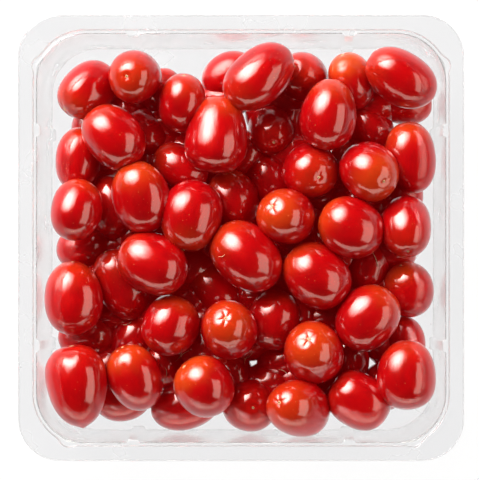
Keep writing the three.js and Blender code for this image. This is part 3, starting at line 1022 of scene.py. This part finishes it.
@dataclass(frozen=True)
class DryFibre:
    """Straw-coloured dried calyx hairs."""

    straw: tuple[float, float, float, float] = (0.62, 0.47, 0.30, 1.0)
    brown: tuple[float, float, float, float] = (0.30, 0.17, 0.08, 1.0)
    roughness: float = 0.65
    streak_scale: float = 1.4
    streak_stretch: float = 3.0
    streak_strength: float = 0.4
    relief: float = 0.00005

    def build(self) -> bpy.types.Material:
        """Makes the fibres' material.

        Returns:
            The material.
        """
        material, shader, principled, _ = new_material("dry fibre")
        place = shader.attribute("skin_place", "Vector")
        streaks = shader.noise(place, self.streak_scale, 2.0, stretch=self.streak_stretch)
        colour = shader.mix(shader.fade(streaks, 0.4, 0.65), self.straw, self.brown)
        normal = shader.bump(self.streak_strength, self.relief, streaks)
        shader.feed(principled, Base_Color=colour, Roughness=self.roughness, Normal=normal)
        return material


@dataclass(frozen=True)
class ClearSheet:
    """Clear thermoformed plastic with a faint grey cast, slow waves from the mould, light smears, and painted
    shade where it is seen at a slant.
    """

    tint: tuple[float, float, float, float] = (0.72, 0.72, 0.735, 1.0)
    # painted shade: the sheet's colour turns dark grey where it is seen at a slant, which darkens the steep
    # walls
    slant_painted_shade: tuple[float, float, float, float] = (0.34, 0.33, 0.34, 1.0)
    shadow_tint: tuple[float, float, float, float] = (0.93, 0.93, 0.94, 1.0)
    body: float = 0.45
    roughness: float = 0.18
    smeared: float = 0.30
    painted_shade_slant_reach: tuple[float, float] = (0.3, 0.95)
    smear_size: float = 22.0
    wave_length: float = 16.0
    ripple: float = 0.10
    wave_strength: float = 0.25
    relief: float = 0.0006

    def build(self, effects: SharedEffects) -> bpy.types.Material:
        """Makes the sheet's material.

        Args:
            effects: The shared shader groups.

        Returns:
            The material.
        """
        material, shader, principled, output = new_material("clear sheet")
        place = shader.attribute("sheet_place", "Vector")
        marks = shader.group(effects.marks, Place=place, Smear_Size=self.smear_size)
        waves = shader.group(effects.waves, Place=place, Wave_Length=self.wave_length, Ripple=self.ripple)
        rough = shader.spread(marks.outputs["Smear"], self.roughness, self.smeared)
        # painted shade: the faint grey cast is mixed towards dark grey as the sheet is seen more at a slant
        slant = shader.node("ShaderNodeLayerWeight").outputs["Facing"]
        tint = shader.mix(shader.fade(slant, *self.painted_shade_slant_reach), self.tint, self.slant_painted_shade)
        shader.feed(
            principled, Base_Color=tint, Roughness=rough, IOR=1.5,
            Normal=shader.bump(self.wave_strength, self.relief, waves.outputs["Height"]),
            Transmission_Weight=1.0, Metallic=0.0, Alpha=self.body,
        )
        light_path = shader.node("ShaderNodeLightPath")
        clear = shader.node("ShaderNodeBsdfTransparent")
        shader.feed(clear, Color=self.shadow_tint)
        mixed = shader.node("ShaderNodeMixShader")
        shader.set_input(mixed.inputs[0], light_path.outputs["Is Shadow Ray"])
        shader.set_input(mixed.inputs[1], principled.outputs[0])
        shader.set_input(mixed.inputs[2], clear.outputs[0])
        shader.tree.links.new(mixed.outputs[0], output.inputs["Surface"])
        return material


@dataclass(frozen=True)
class PaleFloor:
    """A plain studio floor whose even white glow leaves next to no shadow."""

    matt: tuple[float, float, float, float] = (0.04, 0.04, 0.04, 1.0)
    white: tuple[float, float, float, float] = (1.0, 1.0, 1.0, 1.0)
    glow: float = 0.96
    roughness: float = 0.9

    def build(self) -> bpy.types.Material:
        """Makes the floor's material.

        Returns:
            The material.
        """
        material, shader, principled, _ = new_material("pale floor")
        shader.feed(
            principled, Base_Color=self.matt, Roughness=self.roughness, Specular_IOR_Level=0.0,
            Emission_Color=self.white, Emission_Strength=self.glow,
        )
        return material


# ---------------------------------------------------------------- mesh helpers


@dataclass
class MeshParts:
    """Points, faces and point attributes of a mesh that is put together from many small forms."""

    points: list[np.ndarray] = field(default_factory=list)
    faces: list[tuple[int, ...]] = field(default_factory=list)
    values: dict[str, list[np.ndarray]] = field(default_factory=dict)
    count: int = 0

    def add_rings(self, points: np.ndarray, rings: int, **values: np.ndarray) -> None:
        """Adds one closed form, made of rings of points that follow each other, with a cap on each end ring.

        Args:
            points: The points of all rings, in millimetres.
            rings: How many rings there are.
            **values: One value for each point, by attribute name.
        """
        around = len(points) // rings
        row, step = np.meshgrid(np.arange(rings - 1), np.arange(around), indexing="ij")
        here = self.count + row * around
        after = (step + 1) % around
        quads = np.stack([here + step, here + around + step, here + around + after, here + after], axis=-1)
        last = self.count + (rings - 1) * around
        self.faces += [tuple(quad) for quad in quads.reshape(-1, 4).tolist()]
        self.faces.append(tuple(range(self.count, self.count + around)))
        self.faces.append(tuple(range(last + around - 1, last - 1, -1)))
        self.points.append(points)
        for name, value in values.items():
            self.values.setdefault(name, []).append(value)
        self.count += len(points)

    def build(self, name: str, material: bpy.types.Material) -> bpy.types.Object:
        """Makes one object of all the forms.

        Args:
            name: The object's name.
            material: Its material.

        Returns:
            The new object, in the scene.
        """
        mesh = bpy.data.meshes.new(name)
        mesh.from_pydata((np.concatenate(self.points) * MM).tolist(), [], self.faces)
        for label, parts in self.values.items():
            value = np.concatenate(parts).astype(np.float32)
            if value.ndim == 2:
                mesh.attributes.new(label, "FLOAT_VECTOR", "POINT").data.foreach_set("vector", value.ravel())
            else:
                mesh.attributes.new(label, "FLOAT", "POINT").data.foreach_set("value", value)
        mesh.polygons.foreach_set("use_smooth", [True] * len(mesh.polygons))
        mesh.materials.append(material)
        made = bpy.data.objects.new(name, mesh)
        bpy.context.scene.collection.objects.link(made)
        return made


def dress(piece: bpy.types.Object) -> None:
    """Makes a piece ride with the part and logs how many points and faces it has.

    Args:
        piece: The piece.
    """
    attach(piece, BODY)
    LOG.info("%s: %d points, %d faces", piece.name, len(piece.data.vertices), len(piece.data.polygons))


# ---------------------------------------------------------------- tomatoes


@dataclass
class TomatoForm:
    """The shape of a small oval tomato, from its stem end to its tip."""

    fullness: float = 2.12
    around: int = 60
    end_ring: float = 0.012
    stem_rings: int = 14
    stem_reach: float = 0.62
    stem_crowding: float = 1.25
    body_rings: int = 20
    dimple_depth: float = 0.55
    dimple_radius: float = 1.9
    fold_middle: float = 2.6
    fold_spread: float = 1.7
    fold_count: int = 5
    fold_jitter: float = 0.30
    fold_width: float = 0.26
    fold_share: tuple[float, float] = (0.5, 1.1)
    nub_radius: float = 1.9
    lump: float = 0.22
    lump_twists: tuple[float, float] = (1.7, -2.9)
    lobes: float = 0.014
    wall_clear: float = 0.08

    def ring_angles(self) -> np.ndarray:
        """Angles from the stem to the tip, close together round the stem, with small rings at both ends.

        Returns:
            The angle of each ring, in order.
        """
        shares = np.linspace(0.0, 1.0, self.stem_rings + 1) ** self.stem_crowding
        stem = self.end_ring + shares * self.stem_reach
        body = np.linspace(stem[-1], math.pi - self.end_ring, self.body_rings + 1)[1:]
        return np.concatenate([stem, body])

    def add(self, one: Fruit, parts: MeshParts, draws: SeededDraws) -> None:
        """Adds one tomato to a mesh.

        Args:
            one: The tomato.
            parts: The mesh that it is added to.
            draws: Seeded draws for its small unevenness.
        """
        angle = self.ring_angles()[:, None]
        turn = (2 * math.pi * np.arange(self.around) / self.around)[None, :]
        phases = [draws.turn() for _ in range(3)]
        along = np.cos(angle)
        fullness = self.fullness + one.character.blunt
        full = (1 - np.abs(along) ** fullness) ** (1 / fullness)
        swell = 1 + one.character.taper * along
        swell = swell + self.lobes * np.cos(3 * turn + phases[0]) * np.sin(angle)
        radius = one.width / 2 * full * swell
        first, second = self.lump_twists
        lumps = np.sin(2 * turn + first * along + phases[1]) + np.sin(turn + second * along + phases[2])
        radius = radius + self.lump * full * lumps
        height = one.length / 2 * along + 0 * turn
        height = height - self._stem_end(one, radius, along, turn, draws)
        height = height - one.character.nub * np.exp(-((radius / self.nub_radius) ** 2)) * (along < 0)
        local = np.stack([radius * np.cos(turn), radius * np.sin(turn), height], axis=-1)
        steps = np.linalg.norm(np.diff(local, axis=0), axis=-1)
        reach = np.concatenate([np.zeros((1, self.around)), np.cumsum(steps, axis=0)])
        local = local.reshape(-1, 3)
        points = self._kept_in_tray(self._dented(one, one.placed(local)))
        parts.add_rings(
            points,
            len(angle),
            skin_place=local + draws.texture_shift(),
            from_stem=(reach / one.length).reshape(-1),
            shoulder_orange=np.full(len(points), one.orange),
        )

    def _stem_end(
        self, one: Fruit, radius: np.ndarray, along: np.ndarray, turn: np.ndarray, draws: SeededDraws
    ) -> np.ndarray:
        """How deep the stem end is drawn in: a dimple, with uneven folds round it like a star.

        Args:
            one: The tomato.
            radius: Distance of each point from the tomato's axis.
            along: Place of each ring, from 1 at the stem to -1 at the tip.
            turn: Angle round the axis.
            draws: Seeded draws for the folds.

        Returns:
            The depth at each point.
        """
        dimple = self.dimple_depth * np.exp(-((radius / self.dimple_radius) ** 2))
        start = draws.turn()
        folds = 0 * turn
        for fold in range(self.fold_count):
            middle = start + 2 * math.pi * fold / self.fold_count
            middle += draws.between(-self.fold_jitter, self.fold_jitter)
            off = np.angle(np.exp(1j * (turn - middle)))
            folds = folds + draws.between(*self.fold_share) * np.exp(-((off / self.fold_width) ** 2))
        band = np.exp(-(((radius - self.fold_middle) / self.fold_spread) ** 2))
        near_axis = np.clip(radius / self.fold_middle, 0, 1)
        return (dimple + one.character.scar.value * folds * band * near_axis) * (along > 0)

    @staticmethod
    def _dented(one: Fruit, points: np.ndarray) -> np.ndarray:
        """Presses the tomato's dents into its upper side.

        Args:
            one: The tomato.
            points: Its points in the tray.

        Returns:
            The points with the dents.
        """
        middle = np.array([one.x, one.y, one.z])
        for dent in one.character.dents:
            offset = points[:, :2] - middle[:2] - np.array([dent.across, dent.up])
            share = np.exp(-(np.sum(offset**2, axis=1)) / dent.radius**2) * (points[:, 2] > middle[2] - 1)
            inward = middle - points
            inward /= np.linalg.norm(inward, axis=1, keepdims=True)
            points = points + inward * (share * dent.depth)[:, None]
        return points

    def _kept_in_tray(self, points: np.ndarray) -> np.ndarray:
        """Flattens what would go through the tray's walls, ribs or floor, as the soft fruit does.

        Args:
            points: The points in the tray.

        Returns:
            The points, all inside the tray.
        """
        kept = points.copy()
        kept[:, 2] = np.maximum(kept[:, 2], TRAY.sheet + self.wall_clear)
        half = TRAY.wall_half(kept[:, 2]) - self.wall_clear
        for axis in (0, 1):
            beside = np.abs(np.abs(kept[:, 1 - axis]) - TRAY.rib_offset)
            slope = (TRAY.rib_foot_half - beside) / (TRAY.rib_foot_half - TRAY.rib_face_half)
            limit = half - TRAY.rib_depth * np.clip(slope, 0, 1)
            kept[:, axis] = np.clip(kept[:, axis], -limit, limit)
        inner = half - TRAY.wall_corner
        beyond = np.abs(kept[:, :2]) - inner[:, None]
        reach = np.hypot(beyond[:, 0], beyond[:, 1])
        outside = (beyond > 0).all(axis=1) & (reach > TRAY.wall_corner)
        share = np.where(outside, TRAY.wall_corner / np.maximum(reach, TINY), 1.0)
        pulled = np.sign(kept[:, :2]) * (inner[:, None] + beyond * share[:, None])
        kept[:, :2] = np.where(outside[:, None], pulled, kept[:, :2])
        return kept


@dataclass
class ScarForm:
    """The small corky ring in the dimple of a stem end."""

    around: int = 20
    profile: tuple[tuple[float, float], ...] = (
        (0.03, -0.18), (0.14, -0.16), (0.28, 0.04), (0.42, 0.20),
        (0.60, 0.24), (0.78, 0.16), (0.95, -0.05), (1.0, -0.3),
    )
    star_size: tuple[float, float] = (0.95, 1.2)
    plain_size: tuple[float, float] = (0.6, 0.8)
    unround: float = 0.10
    crumple: float = 0.04

    def add(self, one: Fruit, stem_height: float, parts: MeshParts, draws: SeededDraws) -> None:
        """Adds one scar to a mesh.

        Args:
            one: The tomato that bears it.
            stem_height: Height of the dimple's bottom over the tomato's middle, along its axis.
            parts: The mesh that it is added to.
            draws: Seeded draws for its size and unevenness.
        """
        size = draws.between(*(self.star_size if one.character.scar is Scar.STAR else self.plain_size))
        phase = draws.turn()
        turn = 2 * math.pi * np.arange(self.around) / self.around
        rings = []
        for outward, rise in self.profile:
            radius = size * outward * (1 + self.unround * np.cos(3 * turn + phase))
            height = stem_height + rise + self.crumple * np.sin(5 * turn + phase) * outward
            rings.append(np.stack([radius * np.cos(turn), radius * np.sin(turn), height], axis=-1))
        local = np.concatenate(rings)
        outward = np.repeat([part[0] for part in self.profile], self.around)
        place = local + draws.texture_shift()
        parts.add_rings(one.placed(local), len(self.profile), skin_place=place, from_pit=outward)


@dataclass
class TomatoHeap:
    """All the tomatoes, joined into one mesh for each layer of the heap, and their scars."""

    skin: bpy.types.Material
    cork: bpy.types.Material
    form: TomatoForm = field(default_factory=TomatoForm)
    hidden_form: TomatoForm = field(
        default_factory=lambda: TomatoForm(around=32, stem_rings=8, body_rings=12)
    )
    scar: ScarForm = field(default_factory=ScarForm)
    look_seed: int = 21

    LAYERS = {
        "tomatoes_on_top": (Depth.TOP, Depth.HIGH, Depth.UPPER),
        "tomatoes_between": (Depth.MIDDLE, Depth.UNDER),
        "tomatoes_at_bottom": (Depth.LOW, Depth.FLOOR, Depth.HIDDEN),
    }

    def build(self, heap: list[Fruit]) -> list[bpy.types.Object]:
        """Makes the tomatoes and their scars.

        Args:
            heap: Every tomato at its resting place.

        Returns:
            The new pieces.
        """
        draws = SeededDraws(self.look_seed)
        scars = MeshParts()
        pieces = []
        for name, depths in self.LAYERS.items():
            parts = MeshParts()
            for one in (fruit for fruit in heap if fruit.depth in depths):
                form = self.hidden_form if one.depth is Depth.HIDDEN else self.form
                form.add(one, parts, draws)
                self.scar.add(one, one.length / 2 - form.dimple_depth, scars, draws)
            piece = parts.build(name, self.skin)
            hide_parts("tomatoes")
            dress(piece)
            pieces.append(piece)
        marks = scars.build("stem_scars", self.cork)
        dress(marks)
        pieces.append(marks)
        return pieces


@dataclass(frozen=True)
class Hair:
    """One dried hair that lies on the fruit: its middle as seen at rim height, heading, length and bend."""

    across: float
    up: float
    heading: float
    length: float
    bend: float


@dataclass
class DriedHairs:
    """The few dried calyx hairs that lie in the hollows between the tomatoes."""

    fibre: bpy.types.Material
    radius: float = 0.14
    around: int = 6
    steps: int = 12
    lift: float = 0.25
    thinning: float = 0.75
    drop: float = 20.0
    look_from: float = 200.0
    hairs: tuple[Hair, ...] = (
        Hair(-26.2, -50.3, 62, 7.5, 0.9),
        Hair(-25.0, -49.6, 40, 5.5, -0.7),
        Hair(-32.2, -57.4, 98, 4.5, 0.6),
        Hair(-49.0, -37.0, 20, 5.0, 1.0),
        Hair(1.6, -52.2, 70, 5.0, -0.8),
        Hair(3.2, -51.0, 35, 4.5, 0.6),
        Hair(57.6, -8.8, 112, 8.0, 0.5),
        Hair(18.2, -57.0, 150, 5.0, 0.7),
        Hair(-8.0, -8.0, 15, 3.0, 0.5),
    )

    def build(self, ground: list[bpy.types.Object]) -> bpy.types.Object:
        """Lays every hair on what is under it.

        Args:
            ground: The pieces that a hair can lie on.

        Returns:
            The new piece.
        """
        graph = bpy.context.evaluated_depsgraph_get()
        trees = [BVHTree.FromObject(piece, graph) for piece in ground]
        parts = MeshParts()
        for hair in self.hairs:
            self._add(hair, trees, parts)
        piece = parts.build("dried_hairs", self.fibre)
        dress(piece)
        return piece

    def _add(self, hair: Hair, trees: list[BVHTree], parts: MeshParts) -> None:
        """Adds one hair as a thin tapered tube.

        Args:
            hair: The hair.
            trees: What it can lie on.
            parts: The mesh that it is added to.
        """
        heading = math.radians(hair.heading)
        ahead = np.array([math.cos(heading), math.sin(heading)])
        aside = np.array([-ahead[1], ahead[0]])
        middle = np.array(EYE.along_sight(hair.across, hair.up, self.drop))
        share = np.linspace(-0.5, 0.5, self.steps)
        plan = middle + share[:, None] * hair.length * ahead + (hair.bend * (4 * share**2))[:, None] * aside
        heights = np.array([self._height(place, trees) for place in plan])
        heights = np.maximum(heights, np.median(heights)) + self.lift
        middle_line = np.column_stack([plan, heights])
        thin = self.radius * (1 - self.thinning * (2 * share) ** 2)
        turn = 2 * math.pi * np.arange(self.around) / self.around
        rings = []
        for point, radius in zip(middle_line, thin):
            circle = np.outer(np.cos(turn), np.append(aside, 0.0)) - np.outer(np.sin(turn), (0.0, 0.0, 1.0))
            rings.append(point + radius * circle)
        points = np.concatenate(rings)
        parts.add_rings(points, self.steps, skin_place=points)

    def _height(self, place: np.ndarray, trees: list[BVHTree]) -> float:
        """Height of the highest surface under a place, in millimetres.

        Args:
            place: The place across and up.
            trees: The surfaces.

        Returns:
            The height.
        """
        start = Vector((*place, self.look_from)) * MM
        hits = [tree.ray_cast(start, Vector((0.0, 0.0, -1.0)))[0] for tree in trees]
        heights = [hit.z / MM for hit in hits if hit is not None]
        return max(heights, default=TRAY.sheet)


# ---------------------------------------------------------------- tray


@dataclass(frozen=True)
class Station:
    """One closed outline of the tray: half width, height, corner radius, and share of ribs and lugs."""

    half: float
    z: float
    corner: float
    rib: float = 0.0
    lug: float = 0.0

    def toward(self, other: "Station", share: float) -> "Station":
        """The station at a share of the way to another."""
        pairs = zip(self.values(), other.values())
        return Station(*(a + (b - a) * share for a, b in pairs))

    def values(self) -> tuple[float, ...]:
        """All five numbers in order."""
        return self.half, self.z, self.corner, self.rib, self.lug

    def moved(self, outward: float, rise: float) -> "Station":
        """The same station, moved outward and up, with its corners kept even."""
        return Station(self.half + outward, self.z + rise, self.corner + outward, self.rib, self.lug)


@dataclass
class ClearTray:
    """The thin clear tray, made of outlines that follow its inner face and come back along its outer face."""

    sheet: bpy.types.Material
    sizes: TraySizes = TRAY
    corner_steps: int = 30
    side_steps: int = 10
    bend_steps: int = 5
    floor_bend: float = 2.0
    ledge_bend: float = 0.55
    lip_bend: float = 0.7
    rim_bend: float = 0.5
    bend_most: float = 0.45
    floor_inset: float = 6.0
    rib_end: float = 0.02
    lip_lean: float = 0.1
    short_run: float = 4.0
    short_steps: int = 2

    def build(self) -> bpy.types.Object:
        """Makes the tray.

        Returns:
            The new piece.
        """
        inner = self._inner_stations()
        outer = self._outer_stations(inner)
        stations = inner + outer
        rings = [self._outline(station) for station in stations]
        parts = MeshParts()
        points = np.concatenate(rings)
        parts.add_rings(points, len(rings), sheet_place=points)
        piece = parts.build("clear_tray", self.sheet)
        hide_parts("tray")
        dress(piece)
        return piece

    def _inner_stations(self) -> list[Station]:
        """The outlines from the floor's middle up the inside and over the rim to its turned-down edge.

        Returns:
            The outlines, in order.
        """
        s = self.sizes
        floor = s.sheet
        start = Station(s.wall_foot_half - self.floor_inset, floor, s.wall_corner - self.floor_inset, 1.0)
        foot = Station(s.wall_foot_half, floor, s.wall_corner, 1.0)
        wall_top = Station(s.wall_top_half, s.ledge_height, s.wall_corner, 1.0)
        ledge_in = Station(s.wall_top_half + self.rib_end, s.ledge_height, s.wall_corner, 0.0)
        ledge_out = Station(s.lip_half - self.lip_lean, s.ledge_height, s.lip_corner, 0.0, 1.0)
        lip = Station(s.lip_half, s.rim_height, s.lip_corner, 0.0, 1.0)
        rim = Station(s.rim_half, s.rim_height, s.rim_corner)
        edge = Station(s.rim_half, s.rim_height - s.rim_turn_down, s.rim_corner)
        stations = [start, start.toward(foot, 0.35)]
        stations += self._bend(start, foot, wall_top, self.floor_bend)
        stations += [foot.toward(wall_top, share) for share in (0.3, 0.6, 0.85, 0.985)]
        stations += [wall_top, ledge_in]
        stations += self._bend(ledge_in, ledge_out, lip, self.ledge_bend / 2)
        stations += self._bend(ledge_out, lip, rim, self.lip_bend)
        stations += [lip.toward(rim, 0.3), lip.toward(rim, 0.7)]
        stations += self._bend(lip, rim, edge, self.rim_bend)
        stations.append(edge)
        return stations

    def _bend(self, before: Station, corner: Station, after: Station, reach: float) -> list[Station]:
        """Rounds the turn of the profile at a station.

        Args:
            before: The station before the turn.
            corner: The station at the turn.
            after: The station after the turn.
            reach: How far from the turn the rounding starts.

        Returns:
            The stations of the rounded turn.
        """
        back = math.hypot(corner.half - before.half, corner.z - before.z)
        ahead = math.hypot(after.half - corner.half, after.z - corner.z)
        start = corner.toward(before, min(self.bend_most, reach / back))
        end = corner.toward(after, min(self.bend_most, reach / ahead))
        made = []
        for step in range(self.bend_steps + 1):
            share = step / self.bend_steps
            made.append(start.toward(corner, share).toward(corner.toward(end, share), share))
        return made

    def _outer_stations(self, inner: list[Station]) -> list[Station]:
        """The inner outlines moved through the sheet, in the opposite order.

        Args:
            inner: The outlines of the inner face.

        Returns:
            The outlines of the outer face, from the rim's edge back to under the floor.
        """
        outer = []
        for i, station in enumerate(inner):
            before = inner[max(i - 1, 0)]
            after = inner[min(i + 1, len(inner) - 1)]
            run = after.half - before.half
            rise = after.z - before.z
            through = self.sizes.sheet / max(math.hypot(run, rise), TINY)
            outer.append(station.moved(rise * through, -run * through))
        return outer[::-1]

    def _outline(self, station: Station) -> np.ndarray:
        """The points of one outline.

        Args:
            station: The outline's sizes.

        Returns:
            Its points, anticlockwise from above.
        """
        s = self.sizes
        straight = station.half - station.corner
        side = []
        marks = sorted([-straight, straight, *self._rib_places(s)])
        for low, high in zip(marks, marks[1:]):
            steps = self.short_steps if high - low < self.short_run else self.side_steps
            side += [low + (high - low) * step / steps for step in range(steps)]
        side = np.array(side)
        beside = np.abs(np.abs(side) - s.rib_offset)
        share = np.clip((s.rib_foot_half - beside) / (s.rib_foot_half - s.rib_face_half), 0, 1)
        depth = s.rib_depth * station.rib * share
        flat = np.stack([station.half - depth, side], axis=-1)
        points = []
        for quarter, (cos, sin) in enumerate(((1, 0), (0, 1), (-1, 0), (0, -1))):
            run = np.concatenate([flat, self._corner(station, quarter * 90.0)])
            points.append(run @ np.array([[cos, sin], [-sin, cos]]))
        plan = np.concatenate(points)
        return np.column_stack([plan, np.full(len(plan), station.z)])

    @staticmethod
    def _rib_places(s: TraySizes) -> list[float]:
        """Where a side's ribs start, turn and end, along the side.

        Args:
            s: The tray's sizes.

        Returns:
            The eight places, in order.
        """
        bends = (-s.rib_foot_half, -s.rib_face_half, s.rib_face_half, s.rib_foot_half)
        return [middle + bend for middle in (-s.rib_offset, s.rib_offset) for bend in bends]

    def _corner(self, station: Station, turn: float) -> np.ndarray:
        """One rounded corner of an outline, with its lug pushed outward.

        Args:
            station: The outline's sizes.
            turn: Angle in degrees that the corner's side is turned by.

        Returns:
            The corner's points on the unturned side.
        """
        s = self.sizes
        angle = np.linspace(0.0, 90.0, self.corner_steps + 1)[:-1]
        offset = np.min(np.abs((turn + angle)[:, None] - np.array(s.lug_angles)[None, :]), axis=1)
        push = np.where(offset < s.lug_span, np.cos(math.pi / 2 * offset / s.lug_span) ** 2, 0.0)
        radius = station.corner + station.lug * s.lug_depth * push
        middle = station.half - station.corner
        radians = np.radians(angle)
        return np.stack([middle + radius * np.cos(radians), middle + radius * np.sin(radians)], axis=-1)


# ---------------------------------------------------------------- studio


LAMP_WHITE = (1.0, 0.965, 0.93)
CARD_WHITE = (1.0, 0.95, 0.83)


def hang(data: bpy.types.AreaLight, azimuth: float, elevation: float, distance: float) -> bpy.types.Object:
    """Hangs a lamp so that it faces the punnet.

    Args:
        data: The lamp's data.
        azimuth: Its direction round the punnet, in degrees from +x.
        elevation: Its direction over the table, in degrees.
        distance: How far away it is, in metres.

    Returns:
        The lamp's object.
    """
    lamp = bpy.data.objects.new(data.name, data)
    turn, rise = math.radians(azimuth), math.radians(elevation)
    toward = Vector((math.cos(rise) * math.cos(turn), math.cos(rise) * math.sin(turn), math.sin(rise)))
    lamp.location = toward * distance
    lamp.rotation_mode = "QUATERNION"
    lamp.rotation_quaternion = toward.to_track_quat("Z", "Y")
    lamp.visible_camera = False
    bpy.context.scene.collection.objects.link(lamp)
    return lamp


def soften(data: bpy.types.AreaLight, fade: float) -> None:
    """Makes a light's face fade out towards its edge, whether it is round or oblong.

    Args:
        data: The light's data.
        fade: How far in from the edge it fades, as a share of the way to the middle.
    """
    data.use_nodes = True
    data.node_tree.nodes.clear()
    shader = Shader(data.node_tree)
    face = shader.node("ShaderNodeNewGeometry").outputs["Parametric"]
    off_middle = shader.node("ShaderNodeVectorMath", operation="SUBTRACT")
    shader.set_input(off_middle.inputs[0], face)
    shader.set_input(off_middle.inputs[1], (0.5, 0.5, 0.0))
    if data.shape == "DISK":
        reach = shader.node("ShaderNodeVectorMath", operation="LENGTH")
        shader.set_input(reach.inputs[0], off_middle.outputs["Vector"])
        outward = reach.outputs["Value"]
    else:
        apart = shader.node("ShaderNodeSeparateXYZ")
        shader.set_input(apart.inputs[0], off_middle.outputs["Vector"])
        across, up = (shader.math("ABSOLUTE", apart.outputs[axis]) for axis in ("X", "Y"))
        outward = shader.math("MAXIMUM", across, up)
    glow = shader.node("ShaderNodeEmission")
    shader.feed(glow, Strength=shader.math("SUBTRACT", 1.0, shader.fade(outward, 0.5 * (1 - fade), 0.5)))
    output = shader.node("ShaderNodeOutputLight")
    shader.tree.links.new(glow.outputs[0], output.inputs[0])


@dataclass(frozen=True)
class Lamp:
    """One lamp that faces the punnet, with a face that fades out towards its edge.

    It is round where it spans one angle and oblong where it spans two, across and up. Where it isn't on matt
    things, only gloss shows it.
    """

    name: str
    azimuth: float
    elevation: float
    half_angles: tuple[float, ...]
    distance: float
    radiance: float
    fade: float
    colour: tuple[float, float, float]
    on_matt: bool = True

    def build(self) -> None:
        """Hangs the lamp."""
        data = bpy.data.lights.new(self.name, "AREA")
        spans = [2 * self.distance * math.tan(math.radians(angle)) for angle in self.half_angles]
        data.size = spans[0]
        if len(spans) == 1:
            data.shape = "DISK"
            area = math.pi * data.size**2 / 4
        else:
            data.shape = "RECTANGLE"
            data.size_y = spans[1]
            area = data.size * data.size_y
        data.color = self.colour
        data.energy = self.radiance * math.pi * area
        soften(data, self.fade)
        lamp = hang(data, self.azimuth, self.elevation, self.distance)
        lamp.visible_diffuse = self.on_matt


@dataclass
class Studio:
    """The pale floor, the dark room and the lamps."""

    floor_half: float = 6.0
    floor_drop: float = 0.0002
    room: float = 0.02
    room_through_sheet: float = 0.5
    lamps: tuple[Lamp, ...] = (
        Lamp("key_lamp", 126, 34, (36,), 1.2, 15.5, 0.80, LAMP_WHITE),
        Lamp("key_core", 126, 38, (28,), 1.2, 10.5, 0.95, LAMP_WHITE, on_matt=False),
        Lamp("east_card", -8, 37, (34, 19), 1.1, 3.6, 0.30, CARD_WHITE),
        Lamp("south_card", -92, 13.5, (50, 13.5), 1.1, 3.2, 0.30, CARD_WHITE, on_matt=False),
    )

    def build(self) -> None:
        """Makes the floor, the room's light and the lamps."""
        self._floor()
        bpy.context.scene.world = self._room()
        for lamp in self.lamps:
            lamp.build()

    def _room(self) -> bpy.types.World:
        """Makes the dark room, which is pale where the clear sheet bends the view outward.

        Returns:
            The world.
        """
        world = bpy.data.worlds.new("room")
        world.use_nodes = True
        shader = Shader(world.node_tree)
        bent = shader.node("ShaderNodeLightPath").outputs["Is Transmission Ray"]
        background = world.node_tree.nodes["Background"]
        shader.feed(background, Strength=shader.spread(bent, self.room, self.room_through_sheet))
        background.inputs["Color"].default_value = (1.0, 1.0, 1.0, 1.0)
        return world

    def _floor(self) -> None:
        """Makes the wide floor just under the punnet."""
        half = self.floor_half
        corners = [(-half, -half, 0.0), (half, -half, 0.0), (half, half, 0.0), (-half, half, 0.0)]
        mesh = bpy.data.meshes.new("floor")
        mesh.from_pydata(corners, [], [(0, 1, 2, 3)])
        mesh.materials.append(PaleFloor().build())
        floor = bpy.data.objects.new("floor", mesh)
        floor.location.z = -self.floor_drop
        bpy.context.scene.collection.objects.link(floor)


@dataclass(frozen=True)
class OverheadCamera:
    """A long lens that looks straight down, shifted so that the punnet sits in the frame as seen."""

    eye: Eye = EYE
    frame_width: int = 479
    frame_height: int = 480
    frame_at_rim: float = 204.5
    sensor: float = 36.0
    nadir: tuple[float, float] = (285.0, 272.0)
    sees_to: float = 20.0

    def build(self) -> None:
        """Sets up the camera."""
        data = bpy.data.cameras.new("overhead")
        data.sensor_width = self.sensor
        data.lens = self.sensor * self.eye.over_rim / self.frame_at_rim
        data.shift_x = (self.frame_width / 2 - self.nadir[0]) / self.frame_height
        data.shift_y = (self.nadir[1] - self.frame_height / 2) / self.frame_height
        data.clip_end = self.sees_to
        camera = bpy.data.objects.new("overhead", data)
        camera.location = (self.eye.x * MM, self.eye.y * MM, (TRAY.rim_height + self.eye.over_rim) * MM)
        bpy.context.scene.collection.objects.link(camera)
        bpy.context.scene.camera = camera


# ---------------------------------------------------------------- the whole picture


def main() -> None:
    """Builds the camera, the studio, the tray and the heap, in that order."""
    logging.basicConfig(level=logging.INFO, format="%(message)s")
    OverheadCamera().build()
    Studio().build()
    bpy.context.scene.view_settings.view_transform = "Standard"
    effects = SharedEffects()
    ClearTray(ClearSheet().build(effects)).build()
    heap = SettledHeap().fruit()
    DeepFruit().close_chinks(heap)
    LOG.info("the heap holds %d tomatoes", len(heap))
    tomatoes = TomatoHeap(TomatoSkin().build(effects), CorkyScar().build(effects)).build(heap)
    DriedHairs(DryFibre().build()).build(tomatoes)


if __name__ == "__main__":
    main()
